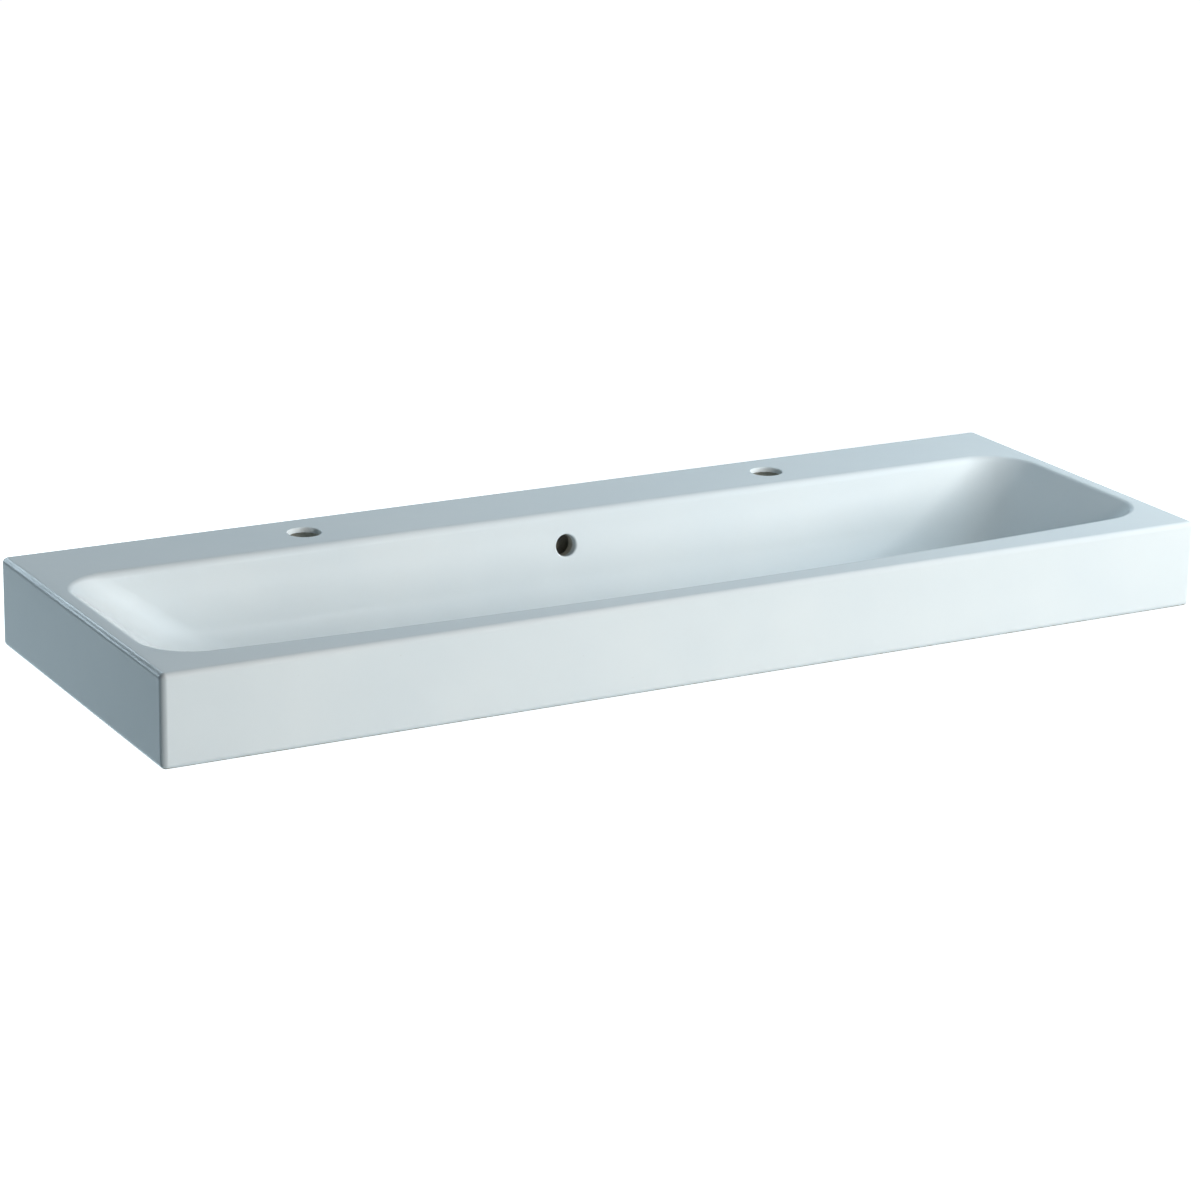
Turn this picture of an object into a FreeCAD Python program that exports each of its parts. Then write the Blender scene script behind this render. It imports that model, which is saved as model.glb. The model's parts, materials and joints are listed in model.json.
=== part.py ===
import FreeCAD, Part
import math
import os

Vector = FreeCAD.Vector

# Frame: the wall is the plane y = 0, the front faces -Y, +Z is up and +X is to the right.
# Height zero is the axis of the wall studs. All sizes are in millimetres.

# Ceramic box: outside sizes and wall thicknesses
WIDTH = 1200.0
DEPTH = 420.0
SKIRT_HEIGHT = 95.0
RIM_TOP = 45.0
OUTER_ROUND = 6.0
SKIRT_WALL = 12.0
BACK_WALL = 14.0
LEDGE_WALL = 14.0
INSIDE_ROUND = 15.0

# Bowl: its opening in the rim, and how its walls run down from there
SIDE_RIM = 19.0
LEDGE = 100.0
FRONT_RIM = 34.6
FRONT_LEAN = math.radians(4.1)
OPENING_CORNER_SHARE = 0.182
FLOOR_CORNER_SHARE = 0.407
END_SLOPE = math.radians(52.0)
LONG_SLOPE = math.radians(8.0)
BOWL_DEPTH = 104.0
FLOOR_FALL = 3.0
FALL_RADIUS = 40.0
FLOOR_BLEND = 45.0
BLEND_STEPS = 6
RIM_ROUND = 9.0
BOWL_WALL = 12.0

# Tap holes in the ledge
TAP_HOLE_RADIUS = 17.5
TAP_HOLE_X = 284.0
TAP_HOLE_FROM_WALL = 51.0
TAP_HOLE_ROUND = 1.5

# Overflow: mouth in the back of the bowl, and the duct cast behind and under the bowl
OVERFLOW_RADIUS = 12.0
OVERFLOW_DROP = 36.0
OVERFLOW_ROUND = 2.0
DUCT_WIDTH = 44.0
DUCT_GAP = 15.0
DUCT_WALL = 10.0
DUCT_ROUND = 8.0
DUCT_HEADROOM = 4.0

# Waste opening: flange recess, hole, ring chamber that the duct ends in, and boss below
WASTE_FROM_WALL = 205.0
WASTE_HOLE_RADIUS = 23.0
RECESS_RADIUS = 33.0
RECESS_DEPTH = 4.0
CHAMBER_RADIUS = 32.0
CHAMBER_HEIGHT = 10.0
BOSS_RADIUS = 44.0
BOSS_FLOOR = 8.0
BOSS_ROUND = 3.0

# Wall fixings: four studs on one level
INNER_STUD_SPACING = 280.0
OUTER_STUD_SPACING = 840.0
STUD_RADIUS = 5.0
STUD_IN_WALL = 70.0
STUD_SHANK_RADIUS = 4.5
STUD_SHANK_IN_WALL = 4.0
STUD_TIP = 8.0
STUD_TIP_RADIUS = 1.5
STUD_CHAMFER = 1.0
STUD_PAST_NUT = 7.0
FIXING_HOLE_RADIUS = 12.0
FIXING_PAD_RADIUS = 25.0
FIXING_PAD = 4.0
BUSH_FIT = 0.3
BUSH_FROM_WALL = 1.0
BUSH_FLANGE_RADIUS = 19.0
BUSH_FLANGE = 3.0
WASHER_RADIUS = 15.0
WASHER_THICKNESS = 2.5
STUD_NUT_FLATS = 17.0
STUD_NUT_HEIGHT = 8.0
THREAD_FIT = 0.05

# Waste body: a flanged tube with a seat for the plug and a spider for the plug mechanism
FLANGE_RADIUS = 31.5
FLANGE_THICKNESS = 3.0
FLANGE_BEVEL = 0.8
FLANGE_SEAL_THICKNESS = 1.5
FLANGE_SEAL_INNER = 21.5
FLANGE_SEAL_OUTER = 29.5
TAIL_RADIUS = 20.955
TAIL_BORE_RADIUS = 17.5
TAIL_LENGTH = 63.0
TAIL_CHAMFER = 1.0
TRAP_THREAD = 14.0
THREAD_NECK = 2.0
NECK_RADIUS = 20.0
SEAT_RADIUS = 24.0
SLOT_COUNT = 4
SLOT_WIDTH = 16.0
SLOT_EDGE = 0.5
SPIDER_ARMS = 3
SPIDER_TOP = 28.0
SPIDER_HEIGHT = 6.0
SPIDER_ARM_WIDTH = 4.0
SPIDER_BOSS_RADIUS = 10.0

# Clamping stack under the ceramic
LOWER_SEAL_THICKNESS = 5.0
LOWER_SEAL_INNER = 21.3
LOWER_SEAL_OUTER = 31.0
SLIP_WASHER_THICKNESS = 1.5
BACKNUT_FLATS = 52.0
BACKNUT_HEIGHT = 8.5

# Plug and its push mechanism
PLUG_TRAVEL = 8.0
SLIDE_FIT = 0.3
CAP_RADIUS = 31.0
CAP_EDGE = 1.6
CAP_LIP_ROUND = 0.6
CAP_CROWN = 4.0
CAP_LIFT = 0.6
CAP_HOLLOW = 0.9
CAP_HOLLOW_RADIUS = 27.0
CAP_RIM_INNER = 29.0
CARRIER_RADIUS = 20.0
CARRIER_LIP_RADIUS = 18.3
CARRIER_LIP = 1.2
SEAL_SECTION = 1.6
STEM_RADIUS = 3.5
STEM_TOP_RADIUS = 3.0
STEM_IN_CAP = 2.2
STEM_HEAD_RADIUS = 5.5
STEM_HEAD_HEIGHT = 6.0
STEM_HEAD_STOP = 0.5
BARREL_RADIUS = 7.0
BARREL_SHOULDER_RADIUS = 9.5
BARREL_SHOULDER = 2.5
BARREL_LENGTH = 32.5
BARREL_FLOOR = 2.0
BARREL_VENT_RADIUS = 1.5
BARREL_CAP_HEIGHT = 3.0
SPRING_WIRE_RADIUS = 0.45
SPRING_GAP = 0.6
SPRING_TURNS = 5
SPRING_END_GAP = 0.1

# Levels and places worked out from the sizes above
SKIRT_FOOT = RIM_TOP - SKIRT_HEIGHT
BOWL_FLOOR = RIM_TOP - BOWL_DEPTH - FLOOR_FALL
CHAMBER_TOP = BOWL_FLOOR - BOWL_WALL
CHAMBER_FOOT = CHAMBER_TOP - CHAMBER_HEIGHT
BOSS_FOOT = CHAMBER_FOOT - BOSS_FLOOR
WASTE_Y = -WASTE_FROM_WALL
DUCT_FRONT = BOWL_WALL - LEDGE
DUCT_BACK = DUCT_FRONT + DUCT_GAP
FLANGE_FOOT = BOWL_FLOOR - RECESS_DEPTH + FLANGE_SEAL_THICKNESS
FLANGE_TOP = FLANGE_FOOT + FLANGE_THICKNESS
TAIL_FOOT = FLANGE_TOP - TAIL_LENGTH
SPIDER_Z = FLANGE_TOP - SPIDER_TOP
LOWER_SEAL_FOOT = BOSS_FOOT - LOWER_SEAL_THICKNESS
BACKNUT_TOP = LOWER_SEAL_FOOT - SLIP_WASHER_THICKNESS
PAD_FACE = BACK_WALL + FIXING_PAD
NUT_FACE = PAD_FACE + BUSH_FLANGE + WASHER_THICKNESS
BARREL_TOP = SPIDER_Z + BARREL_SHOULDER
BARREL_FOOT = BARREL_TOP - BARREL_LENGTH
BARREL_BORE_RADIUS = STEM_HEAD_RADIUS + SLIDE_FIT
STEM_HEAD_TOP = BARREL_TOP - STEM_HEAD_STOP - PLUG_TRAVEL
STEM_HEAD_FOOT = STEM_HEAD_TOP - STEM_HEAD_HEIGHT
CAP_FOOT = FLANGE_TOP + CAP_LIFT
CARRIER_TOP = CAP_FOOT + CAP_HOLLOW
SEAL_Z = FLANGE_TOP - SEAL_SECTION - CAP_LIFT
CARRIER_FOOT = SEAL_Z - SEAL_SECTION - CARRIER_LIP
# The seat is a 45 degree cone; the seal ring lies a sliding fit inside it.
SEAL_RADIUS = SEAT_RADIUS - (FLANGE_TOP - SEAL_Z) - math.sqrt(2) * (SEAL_SECTION + SLIDE_FIT)
STUD_X = [share * spacing for spacing in (INNER_STUD_SPACING, OUTER_STUD_SPACING) for share in (-0.5, 0.5)]
# Tools run past what they cut by this much, and faces and edges are told apart by this much.
CUT_PAST = 5.0
NEAR = 0.001
# The ends curve into the floor from the same depth as the long walls, so with a wider radius.
END_BLEND = FLOOR_BLEND * (1 - math.sin(LONG_SLOPE)) / (1 - math.sin(END_SLOPE))


# Small helpers

def block(x0, x1, y0, y1, z0, z1):
    return Part.makeBox(x1 - x0, y1 - y0, z1 - z0, Vector(x0, y0, z0))


def upright(radius, z0, z1, x=0.0, y=0.0):
    return Part.makeCylinder(radius, z1 - z0, Vector(x, y, z0), Vector(0, 0, 1))


def along_wall_axis(radius, y0, y1, x=0.0, z=0.0):
    return Part.makeCylinder(radius, y1 - y0, Vector(x, y0, z), Vector(0, 1, 0))


def ring(outer, inner, z0, z1):
    return upright(outer, z0, z1, 0, WASTE_Y).cut(upright(inner, z0, z1, 0, WASTE_Y))


def turned(edges, y=WASTE_Y):
    """Solid of revolution about an upright axis, from edges drawn as radius and height."""
    face = Part.Face(Part.Wire(edges))
    face.translate(Vector(0, y, 0))
    return face.revolve(Vector(0, y, 0), Vector(0, 0, 1), 360)


def turned_polygon(points, y=WASTE_Y):
    corners = [Vector(radius, 0, height) for radius, height in points]
    return turned(Part.makePolygon(corners + corners[:1]).Edges, y)


# Ceramic body

def wall_inset(depth, slope, blend, grow):
    """How far a wall has come in at a depth, and the part of the grown thickness that lies level there."""
    centre_depth = BOWL_DEPTH - blend
    radius = blend + grow
    lever = (depth - centre_depth) / radius
    if lever <= math.sin(slope):
        return depth * math.tan(slope) - grow / math.cos(slope), grow * math.cos(slope)
    level = math.sqrt(max(0.0, 1 - lever**2))
    centre_inset = (centre_depth + blend * math.sin(slope)) * math.tan(slope) + blend * math.cos(slope)
    return centre_inset - radius * level, grow * level


def bowl_outline(depth, grow):
    """Bowl outline at a depth below the rim, moved outwards by a wall thickness."""
    end_inset, _ = wall_inset(depth, END_SLOPE, END_BLEND, grow)
    long_inset, level_grow = wall_inset(depth, LONG_SLOPE, FLOOR_BLEND, grow)
    half = WIDTH / 2 - SIDE_RIM - end_inset
    back = -LEDGE - long_inset
    front = -DEPTH + FRONT_RIM + long_inset
    # The corners take a growing share of the bowl's size from front to back, as its inside comes in.
    inside_inset = long_inset + level_grow
    floor_inset, _ = wall_inset(BOWL_DEPTH, LONG_SLOPE, FLOOR_BLEND, 0.0)
    share = OPENING_CORNER_SHARE + (FLOOR_CORNER_SHARE - OPENING_CORNER_SHARE) * inside_inset / floor_inset
    corner = share * (DEPTH - LEDGE - FRONT_RIM - 2 * inside_inset) + level_grow
    z = RIM_TOP - depth
    # The front is a wide arc, which has turned by the lean where it runs into the corners.
    corner_x = half - corner
    reach = corner_x / math.sin(FRONT_LEAN)
    front_corner_y = front + corner + reach * (1 - math.cos(FRONT_LEAN))

    def corner_point(side, centre_y, angle):
        return Vector(side * (corner_x + corner * math.cos(angle)), centre_y + corner * math.sin(angle), z)

    def corner_arc(side, centre_y, start, stop):
        angles = (start, (start + stop) / 2, stop)
        return Part.Arc(*[corner_point(side, centre_y, angle) for angle in angles]).toShape()

    quarter = math.pi / 2
    front_end = FRONT_LEAN - quarter
    back_y = back - corner
    right_front = corner_point(1, front_corner_y, front_end)
    left_front = corner_point(-1, front_corner_y, front_end)
    edges = [
        Part.makeLine(Vector(-corner_x, back, z), Vector(corner_x, back, z)),
        corner_arc(1, back_y, quarter, 0),
        Part.makeLine(Vector(half, back_y, z), Vector(half, front_corner_y, z)),
        corner_arc(1, front_corner_y, 0, front_end),
        Part.Arc(right_front, Vector(0, front, z), left_front).toShape(),
        corner_arc(-1, front_corner_y, front_end, 0),
        Part.makeLine(Vector(-half, front_corner_y, z), Vector(-half, back_y, z)),
        corner_arc(-1, back_y, 0, quarter),
    ]
    return Part.Wire(edges)


def fall_circle(outline, depth):
    """Circle round the waste, split where the corners of an outline lie as seen from the waste."""
    z = RIM_TOP - depth
    turns = [math.atan2(v.Y - WASTE_Y, v.X) for v in outline.OrderedVertexes]
    edges = []
    for start, stop in zip(turns, turns[1:] + turns[:1]):
        sweep = -((start - stop) % (2 * math.pi))
        angles = (start, start + sweep / 2, start + sweep)
        points = [Vector(FALL_RADIUS * math.cos(a), WASTE_Y + FALL_RADIUS * math.sin(a), z) for a in angles]
        edges.append(Part.Arc(*points).toShape())
    return Part.Wire(edges)


def bowl_form(grow):
    """The bowl as a solid lump: its inside, or its outside when grown by the wall."""
    radius = FLOOR_BLEND + grow
    centre_depth = BOWL_DEPTH - FLOOR_BLEND
    steps = [step / BLEND_STEPS for step in range(BLEND_STEPS + 1)]
    turns = [LONG_SLOPE + (math.pi / 2 - LONG_SLOPE) * step for step in steps]
    blend = [bowl_outline(centre_depth + radius * math.sin(turn), grow) for turn in turns]
    walls = Part.makeLoft([bowl_outline(-CUT_PAST, grow), blend[0]], True, True)
    curved = Part.makeLoft(blend, True, False)
    fall = Part.makeLoft([blend[-1], fall_circle(blend[-1], BOWL_DEPTH + FLOOR_FALL + grow)], True, True)
    return walls.fuse([curved, fall]).removeSplitter()


def flared_cutter(radius, flare, length):
    """Tool for a hole down from z = 0, with its mouth rounded outwards."""
    mouth = radius + flare
    bend = flare * (1 - math.sqrt(0.5))
    points = [(0, CUT_PAST), (0, -length), (radius, -length), (radius, -flare)]
    corners = [Vector(r, 0, z) for r, z in points]
    edges = Part.makePolygon(corners).Edges
    edges.append(Part.Arc(corners[-1], Vector(radius + bend, 0, -bend), Vector(mouth, 0, 0)).toShape())
    edges.append(Part.makeLine(Vector(mouth, 0, 0), Vector(mouth, 0, CUT_PAST)))
    edges.append(Part.makeLine(Vector(mouth, 0, CUT_PAST), corners[0]))
    return Part.Face(Part.Wire(edges)).revolve(Vector(0, 0, 0), Vector(0, 0, 1), 360)


def ceramic_shell(bowl_inside):
    """Rounded box, open below, with the bowl hung in it and its rim rounded."""
    half = WIDTH / 2
    outer = block(-half, half, -DEPTH, 0, SKIRT_FOOT, RIM_TOP)
    outer = outer.makeFillet(OUTER_ROUND, outer.Edges)
    inner_half = half - SKIRT_WALL
    inner = block(
        -inner_half, inner_half, SKIRT_WALL - DEPTH, -BACK_WALL, SKIRT_FOOT - CUT_PAST, RIM_TOP - LEDGE_WALL
    )
    inner = inner.makeFillet(INSIDE_ROUND, [edge for edge in inner.Edges if edge.BoundBox.ZMax > SKIRT_FOOT])
    inset = OUTER_ROUND
    around_bowl = block(inset - half, half - inset, inset - DEPTH, -inset, BOSS_FOOT, RIM_TOP - inset)
    hung = bowl_form(BOWL_WALL).common(around_bowl)
    shell = outer.cut(inner).fuse(hung).cut(bowl_inside).removeSplitter().Solids[0]
    opening = [
        edge
        for edge in shell.Edges
        if edge.BoundBox.ZMin > RIM_TOP - NEAR
        and FRONT_RIM / 2 - DEPTH < edge.BoundBox.YMin
        and edge.BoundBox.YMax < -LEDGE / 2
        and abs(edge.CenterOfMass.x) < half - SIDE_RIM / 2
    ]
    return shell.makeFillet(RIM_ROUND, opening)


def overflow_casing():
    """Solid round the overflow duct: down behind the bowl, forward below it to the waste boss."""
    half = DUCT_WIDTH / 2 + DUCT_WALL
    back = DUCT_BACK + DUCT_WALL
    top = RIM_TOP - LEDGE_WALL / 2
    casing = block(-half, half, WASTE_Y, back, BOSS_FOOT, top)
    middles = [(edge, edge.CenterOfMass) for edge in casing.Edges]
    behind = [edge for edge, at in middles if at.y > back - NEAR and at.z < top - NEAR]
    below = [edge for edge, at in middles if at.z < BOSS_FOOT + NEAR and WASTE_Y + NEAR < at.y < back - NEAR]
    casing = casing.makeFillet(DUCT_ROUND, behind + below)
    boss = upright(BOSS_RADIUS, BOSS_FOOT, BOWL_FLOOR, 0, WASTE_Y)
    boss = boss.makeFillet(BOSS_ROUND, [edge for edge in boss.Edges if edge.BoundBox.ZMax < BOSS_FOOT + NEAR])
    return casing.fuse(boss)


def overflow_passage():
    """The open way from the overflow mouth to the waste hole."""
    half = DUCT_WIDTH / 2
    crest = RIM_TOP - OVERFLOW_DROP + OVERFLOW_RADIUS + DUCT_HEADROOM
    down = block(-half, half, DUCT_FRONT, DUCT_BACK, CHAMBER_FOOT, crest)
    forward = block(-half, half, WASTE_Y, DUCT_BACK, CHAMBER_FOOT, CHAMBER_TOP)
    chamber = upright(CHAMBER_RADIUS, CHAMBER_FOOT, CHAMBER_TOP, 0, WASTE_Y)
    mouth_y = -LEDGE - OVERFLOW_DROP * math.tan(LONG_SLOPE)
    way_in = (DUCT_FRONT + DUCT_BACK) / 2 - mouth_y
    mouth = flared_cutter(OVERFLOW_RADIUS, OVERFLOW_ROUND, way_in / math.cos(LONG_SLOPE))
    mouth.rotate(Vector(0, 0, 0), Vector(1, 0, 0), 90 - math.degrees(LONG_SLOPE))
    mouth.translate(Vector(0, mouth_y, RIM_TOP - OVERFLOW_DROP))
    return down.fuse([forward, chamber, mouth])


def basin_body():
    inside = bowl_form(0.0)
    body = ceramic_shell(inside)
    extra = overflow_casing().cut(inside)
    pads = [along_wall_axis(FIXING_PAD_RADIUS, -PAD_FACE, -BACK_WALL / 2, x) for x in STUD_X]
    body = body.fuse([extra] + pads)
    tools = [overflow_passage()]
    for side in (-1, 1):
        tool = flared_cutter(TAP_HOLE_RADIUS, TAP_HOLE_ROUND, LEDGE_WALL + CUT_PAST)
        tool.translate(Vector(side * TAP_HOLE_X, -TAP_HOLE_FROM_WALL, RIM_TOP))
        tools.append(tool)
    tools.append(upright(WASTE_HOLE_RADIUS, BOSS_FOOT - CUT_PAST, BOWL_FLOOR + CUT_PAST, 0, WASTE_Y))
    tools.append(upright(RECESS_RADIUS, BOWL_FLOOR - RECESS_DEPTH, BOWL_FLOOR + CUT_PAST, 0, WASTE_Y))
    for x in STUD_X:
        tools.append(along_wall_axis(FIXING_HOLE_RADIUS, -PAD_FACE - CUT_PAST, CUT_PAST, x))
    return body.cut(tools).removeSplitter()


# Waste, from the flange in the bowl down to the thread for the trap

def waste_body():
    seat_foot = FLANGE_TOP - (SEAT_RADIUS - TAIL_BORE_RADIUS)
    neck_foot = TAIL_FOOT + TAIL_CHAMFER + TRAP_THREAD
    neck_top = neck_foot + THREAD_NECK
    tube = turned_polygon([
        (SEAT_RADIUS, FLANGE_TOP),
        (FLANGE_RADIUS - FLANGE_BEVEL, FLANGE_TOP),
        (FLANGE_RADIUS, FLANGE_TOP - FLANGE_BEVEL),
        (FLANGE_RADIUS, FLANGE_FOOT),
        (TAIL_RADIUS, FLANGE_FOOT),
        (TAIL_RADIUS, neck_top),
        (NECK_RADIUS, neck_top),
        (NECK_RADIUS, neck_foot),
        (TAIL_RADIUS, neck_foot),
        (TAIL_RADIUS, TAIL_FOOT + TAIL_CHAMFER),
        (TAIL_RADIUS - TAIL_CHAMFER, TAIL_FOOT),
        (TAIL_BORE_RADIUS, TAIL_FOOT),
        (TAIL_BORE_RADIUS, seat_foot),
    ])
    axis = Vector(0, WASTE_Y, 0)
    slots = []
    for step in range(SLOT_COUNT):
        slot = block(
            0, TAIL_RADIUS + CUT_PAST, WASTE_Y - SLOT_WIDTH / 2, WASTE_Y + SLOT_WIDTH / 2,
            CHAMBER_FOOT + SLOT_EDGE, CHAMBER_TOP - SLOT_EDGE,
        )
        slot.rotate(axis, Vector(0, 0, 1), 360 * (step + 0.5) / SLOT_COUNT)
        slots.append(slot)
    arms = []
    for step in range(SPIDER_ARMS):
        arm = block(
            0, (TAIL_BORE_RADIUS + TAIL_RADIUS) / 2,
            WASTE_Y - SPIDER_ARM_WIDTH / 2, WASTE_Y + SPIDER_ARM_WIDTH / 2,
            SPIDER_Z - SPIDER_HEIGHT, SPIDER_Z,
        )
        arm.rotate(axis, Vector(0, 0, 1), 360 * step / SPIDER_ARMS)
        arms.append(arm)
    boss = upright(SPIDER_BOSS_RADIUS, SPIDER_Z - SPIDER_HEIGHT, SPIDER_Z, 0, WASTE_Y)
    boss_bore = upright(BARREL_RADIUS + THREAD_FIT, SPIDER_Z - SPIDER_HEIGHT, SPIDER_Z, 0, WASTE_Y)
    return tube.cut(slots).fuse(arms + [boss]).cut(boss_bore).removeSplitter()


def waste_flange_seal():
    return ring(FLANGE_SEAL_OUTER, FLANGE_SEAL_INNER, BOWL_FLOOR - RECESS_DEPTH, FLANGE_FOOT)


def waste_lower_seal():
    return ring(LOWER_SEAL_OUTER, LOWER_SEAL_INNER, LOWER_SEAL_FOOT, BOSS_FOOT)


def waste_slip_washer():
    return ring(LOWER_SEAL_OUTER, LOWER_SEAL_INNER, BACKNUT_TOP, LOWER_SEAL_FOOT)


def hex_nut(flats, height, hole_radius):
    """Hexagon nut standing on z = 0 about the Z axis, its corners bevelled at both ends."""
    corner = flats / math.sqrt(3)
    turns = [math.radians(60 * step) for step in range(7)]
    outline = Part.makePolygon([Vector(corner * math.cos(a), corner * math.sin(a), 0) for a in turns])
    prism = Part.Face(outline).extrude(Vector(0, 0, height))
    blank = upright(corner, 0, height)
    rims = [edge for edge in blank.Edges if edge.BoundBox.ZLength < NEAR]
    blank = blank.makeChamfer(corner - flats / 2, rims)
    return prism.common(blank).cut(upright(hole_radius, -CUT_PAST, height + CUT_PAST))


def waste_backnut():
    nut = hex_nut(BACKNUT_FLATS, BACKNUT_HEIGHT, TAIL_RADIUS + THREAD_FIT)
    nut.translate(Vector(0, WASTE_Y, BACKNUT_TOP - BACKNUT_HEIGHT))
    return nut


# Plug, drawn closed: it slides up by its travel to open

def plug_cap():
    crown_z = CAP_FOOT + CAP_EDGE + CAP_CROWN
    socket = STEM_TOP_RADIUS + THREAD_FIT
    socket_top = CARRIER_TOP + STEM_IN_CAP + THREAD_FIT
    dome = (CAP_RADIUS**2 + CAP_CROWN**2) / (2 * CAP_CROWN)
    half_way = crown_z - dome + math.sqrt(dome**2 - CAP_RADIUS**2 / 4)
    outline = [
        (0, socket_top),
        (socket, socket_top),
        (socket, CARRIER_TOP),
        (CAP_HOLLOW_RADIUS, CARRIER_TOP),
        (CAP_RIM_INNER, CAP_FOOT),
        (CAP_RADIUS, CAP_FOOT),
        (CAP_RADIUS, CAP_FOOT + CAP_EDGE),
    ]
    corners = [Vector(r, 0, z) for r, z in outline]
    crown = Vector(0, 0, crown_z)
    edges = Part.makePolygon(corners).Edges
    edges.append(Part.Arc(corners[-1], Vector(CAP_RADIUS / 2, 0, half_way), crown).toShape())
    edges.append(Part.makeLine(crown, corners[0]))
    cap = turned(edges)
    lip = [e for e in cap.Edges if e.BoundBox.XMax > CAP_RADIUS - NEAR and e.BoundBox.ZLength < NEAR]
    return cap.makeFillet(CAP_LIP_ROUND, lip)


def plug_carrier():
    groove = SEAL_SECTION + THREAD_FIT
    return turned_polygon([
        (STEM_TOP_RADIUS + THREAD_FIT, CARRIER_TOP),
        (CARRIER_RADIUS, CARRIER_TOP),
        (CARRIER_RADIUS, SEAL_Z + groove),
        (SEAL_RADIUS - groove, SEAL_Z + groove),
        (SEAL_RADIUS - groove, SEAL_Z - groove),
        (CARRIER_LIP_RADIUS, SEAL_Z - groove),
        (CARRIER_LIP_RADIUS, CARRIER_FOOT),
        (STEM_TOP_RADIUS + THREAD_FIT, CARRIER_FOOT),
    ])


def plug_seal():
    return Part.makeTorus(SEAL_RADIUS, SEAL_SECTION, Vector(0, WASTE_Y, SEAL_Z), Vector(0, 0, 1))


def plug_stem():
    return turned_polygon([
        (0, STEM_HEAD_FOOT),
        (STEM_HEAD_RADIUS, STEM_HEAD_FOOT),
        (STEM_HEAD_RADIUS, STEM_HEAD_TOP),
        (STEM_RADIUS, STEM_HEAD_TOP),
        (STEM_RADIUS, CARRIER_FOOT),
        (STEM_TOP_RADIUS, CARRIER_FOOT),
        (STEM_TOP_RADIUS, CARRIER_TOP + STEM_IN_CAP),
        (0, CARRIER_TOP + STEM_IN_CAP),
    ])


# Push mechanism, held in the spider of the waste body

def push_barrel():
    return turned_polygon([
        (BARREL_VENT_RADIUS, BARREL_FOOT),
        (BARREL_RADIUS, BARREL_FOOT),
        (BARREL_RADIUS, SPIDER_Z),
        (BARREL_SHOULDER_RADIUS, SPIDER_Z),
        (BARREL_SHOULDER_RADIUS, BARREL_TOP),
        (BARREL_BORE_RADIUS, BARREL_TOP),
        (BARREL_BORE_RADIUS, BARREL_FOOT + BARREL_FLOOR),
        (BARREL_VENT_RADIUS, BARREL_FOOT + BARREL_FLOOR),
    ])


def push_barrel_cap():
    return ring(BARREL_SHOULDER_RADIUS, STEM_RADIUS + SLIDE_FIT, BARREL_TOP, BARREL_TOP + BARREL_CAP_HEIGHT)


def tangent_arcs(start, start_way, stop, stop_way):
    """Two arcs from start to stop that leave and arrive along the given unit directions."""
    across = stop - start
    ways = start_way + stop_way
    spread = 4 - ways.dot(ways)
    along = across.dot(ways)
    reach = (math.sqrt(along**2 + spread * across.dot(across)) - along) / spread
    first_corner = start + start_way * reach
    second_corner = stop - stop_way * reach
    joint = (first_corner + second_corner) * 0.5
    arcs = []
    for begin, corner, end in ((start, first_corner, joint), (joint, second_corner, stop)):
        weight = (end - begin).Length / (2 * reach)
        middle = (begin + corner * (2 * weight) + end) * (0.5 / (1 + weight))
        arcs.append(Part.Arc(begin, middle, end).toShape())
    return arcs


def push_spring():
    """Coil spring, closed position, between the barrel floor and the stem head."""
    coil = BARREL_BORE_RADIUS - SPRING_GAP - SPRING_WIRE_RADIUS
    foot = BARREL_FOOT + BARREL_FLOOR + SPRING_END_GAP + SPRING_WIRE_RADIUS
    top = STEM_HEAD_FOOT - SPRING_END_GAP - SPRING_WIRE_RADIUS
    climb = (top - foot) / (2 * math.pi * SPRING_TURNS)

    def place(turn):
        return Vector(coil * math.cos(turn), WASTE_Y + coil * math.sin(turn), foot + climb * turn)

    def way(turn):
        return Vector(-coil * math.sin(turn), coil * math.cos(turn), climb).normalize()

    quarters = [math.pi / 2 * step for step in range(4 * SPRING_TURNS + 1)]
    edges = []
    for begin, end in zip(quarters, quarters[1:]):
        edges += tangent_arcs(place(begin), way(begin), place(end), way(end))
    section = Part.Wire([Part.makeCircle(SPRING_WIRE_RADIUS, place(0), way(0))])
    return Part.Wire(edges).makePipeShell([section], True, False)


# Wall fixings, one set for each stud

def fixing_set(make_one):
    """The same fixing at each stud, drawn pointing up from z = 0 at the wall and laid along -Y."""
    pieces = []
    for x in STUD_X:
        piece = make_one()
        piece.rotate(Vector(0, 0, 0), Vector(1, 0, 0), 90)
        piece.translate(Vector(x, 0, 0))
        pieces.append(piece)
    return Part.makeCompound(pieces)


def wall_stud():
    """Screw end in the wall, plain shank at the wall's face, and the nut's end in the basin."""
    nut_end = NUT_FACE + STUD_NUT_HEIGHT + STUD_PAST_NUT
    outline = [
        (0, -STUD_IN_WALL),
        (STUD_TIP_RADIUS, -STUD_IN_WALL),
        (STUD_RADIUS, STUD_TIP - STUD_IN_WALL),
        (STUD_RADIUS, -STUD_SHANK_IN_WALL),
        (STUD_SHANK_RADIUS, -STUD_SHANK_IN_WALL),
        (STUD_SHANK_RADIUS, BUSH_FROM_WALL),
        (STUD_RADIUS, BUSH_FROM_WALL),
        (STUD_RADIUS, nut_end - STUD_CHAMFER),
        (STUD_RADIUS - STUD_CHAMFER, nut_end),
        (0, nut_end),
    ]
    return turned_polygon(outline, 0.0)


def wall_bush():
    sleeve = upright(FIXING_HOLE_RADIUS - BUSH_FIT, BUSH_FROM_WALL, PAD_FACE)
    flange = upright(BUSH_FLANGE_RADIUS, PAD_FACE, PAD_FACE + BUSH_FLANGE)
    hole = upright(STUD_RADIUS + BUSH_FIT, 0, NUT_FACE)
    return sleeve.fuse(flange).cut(hole).removeSplitter()


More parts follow.
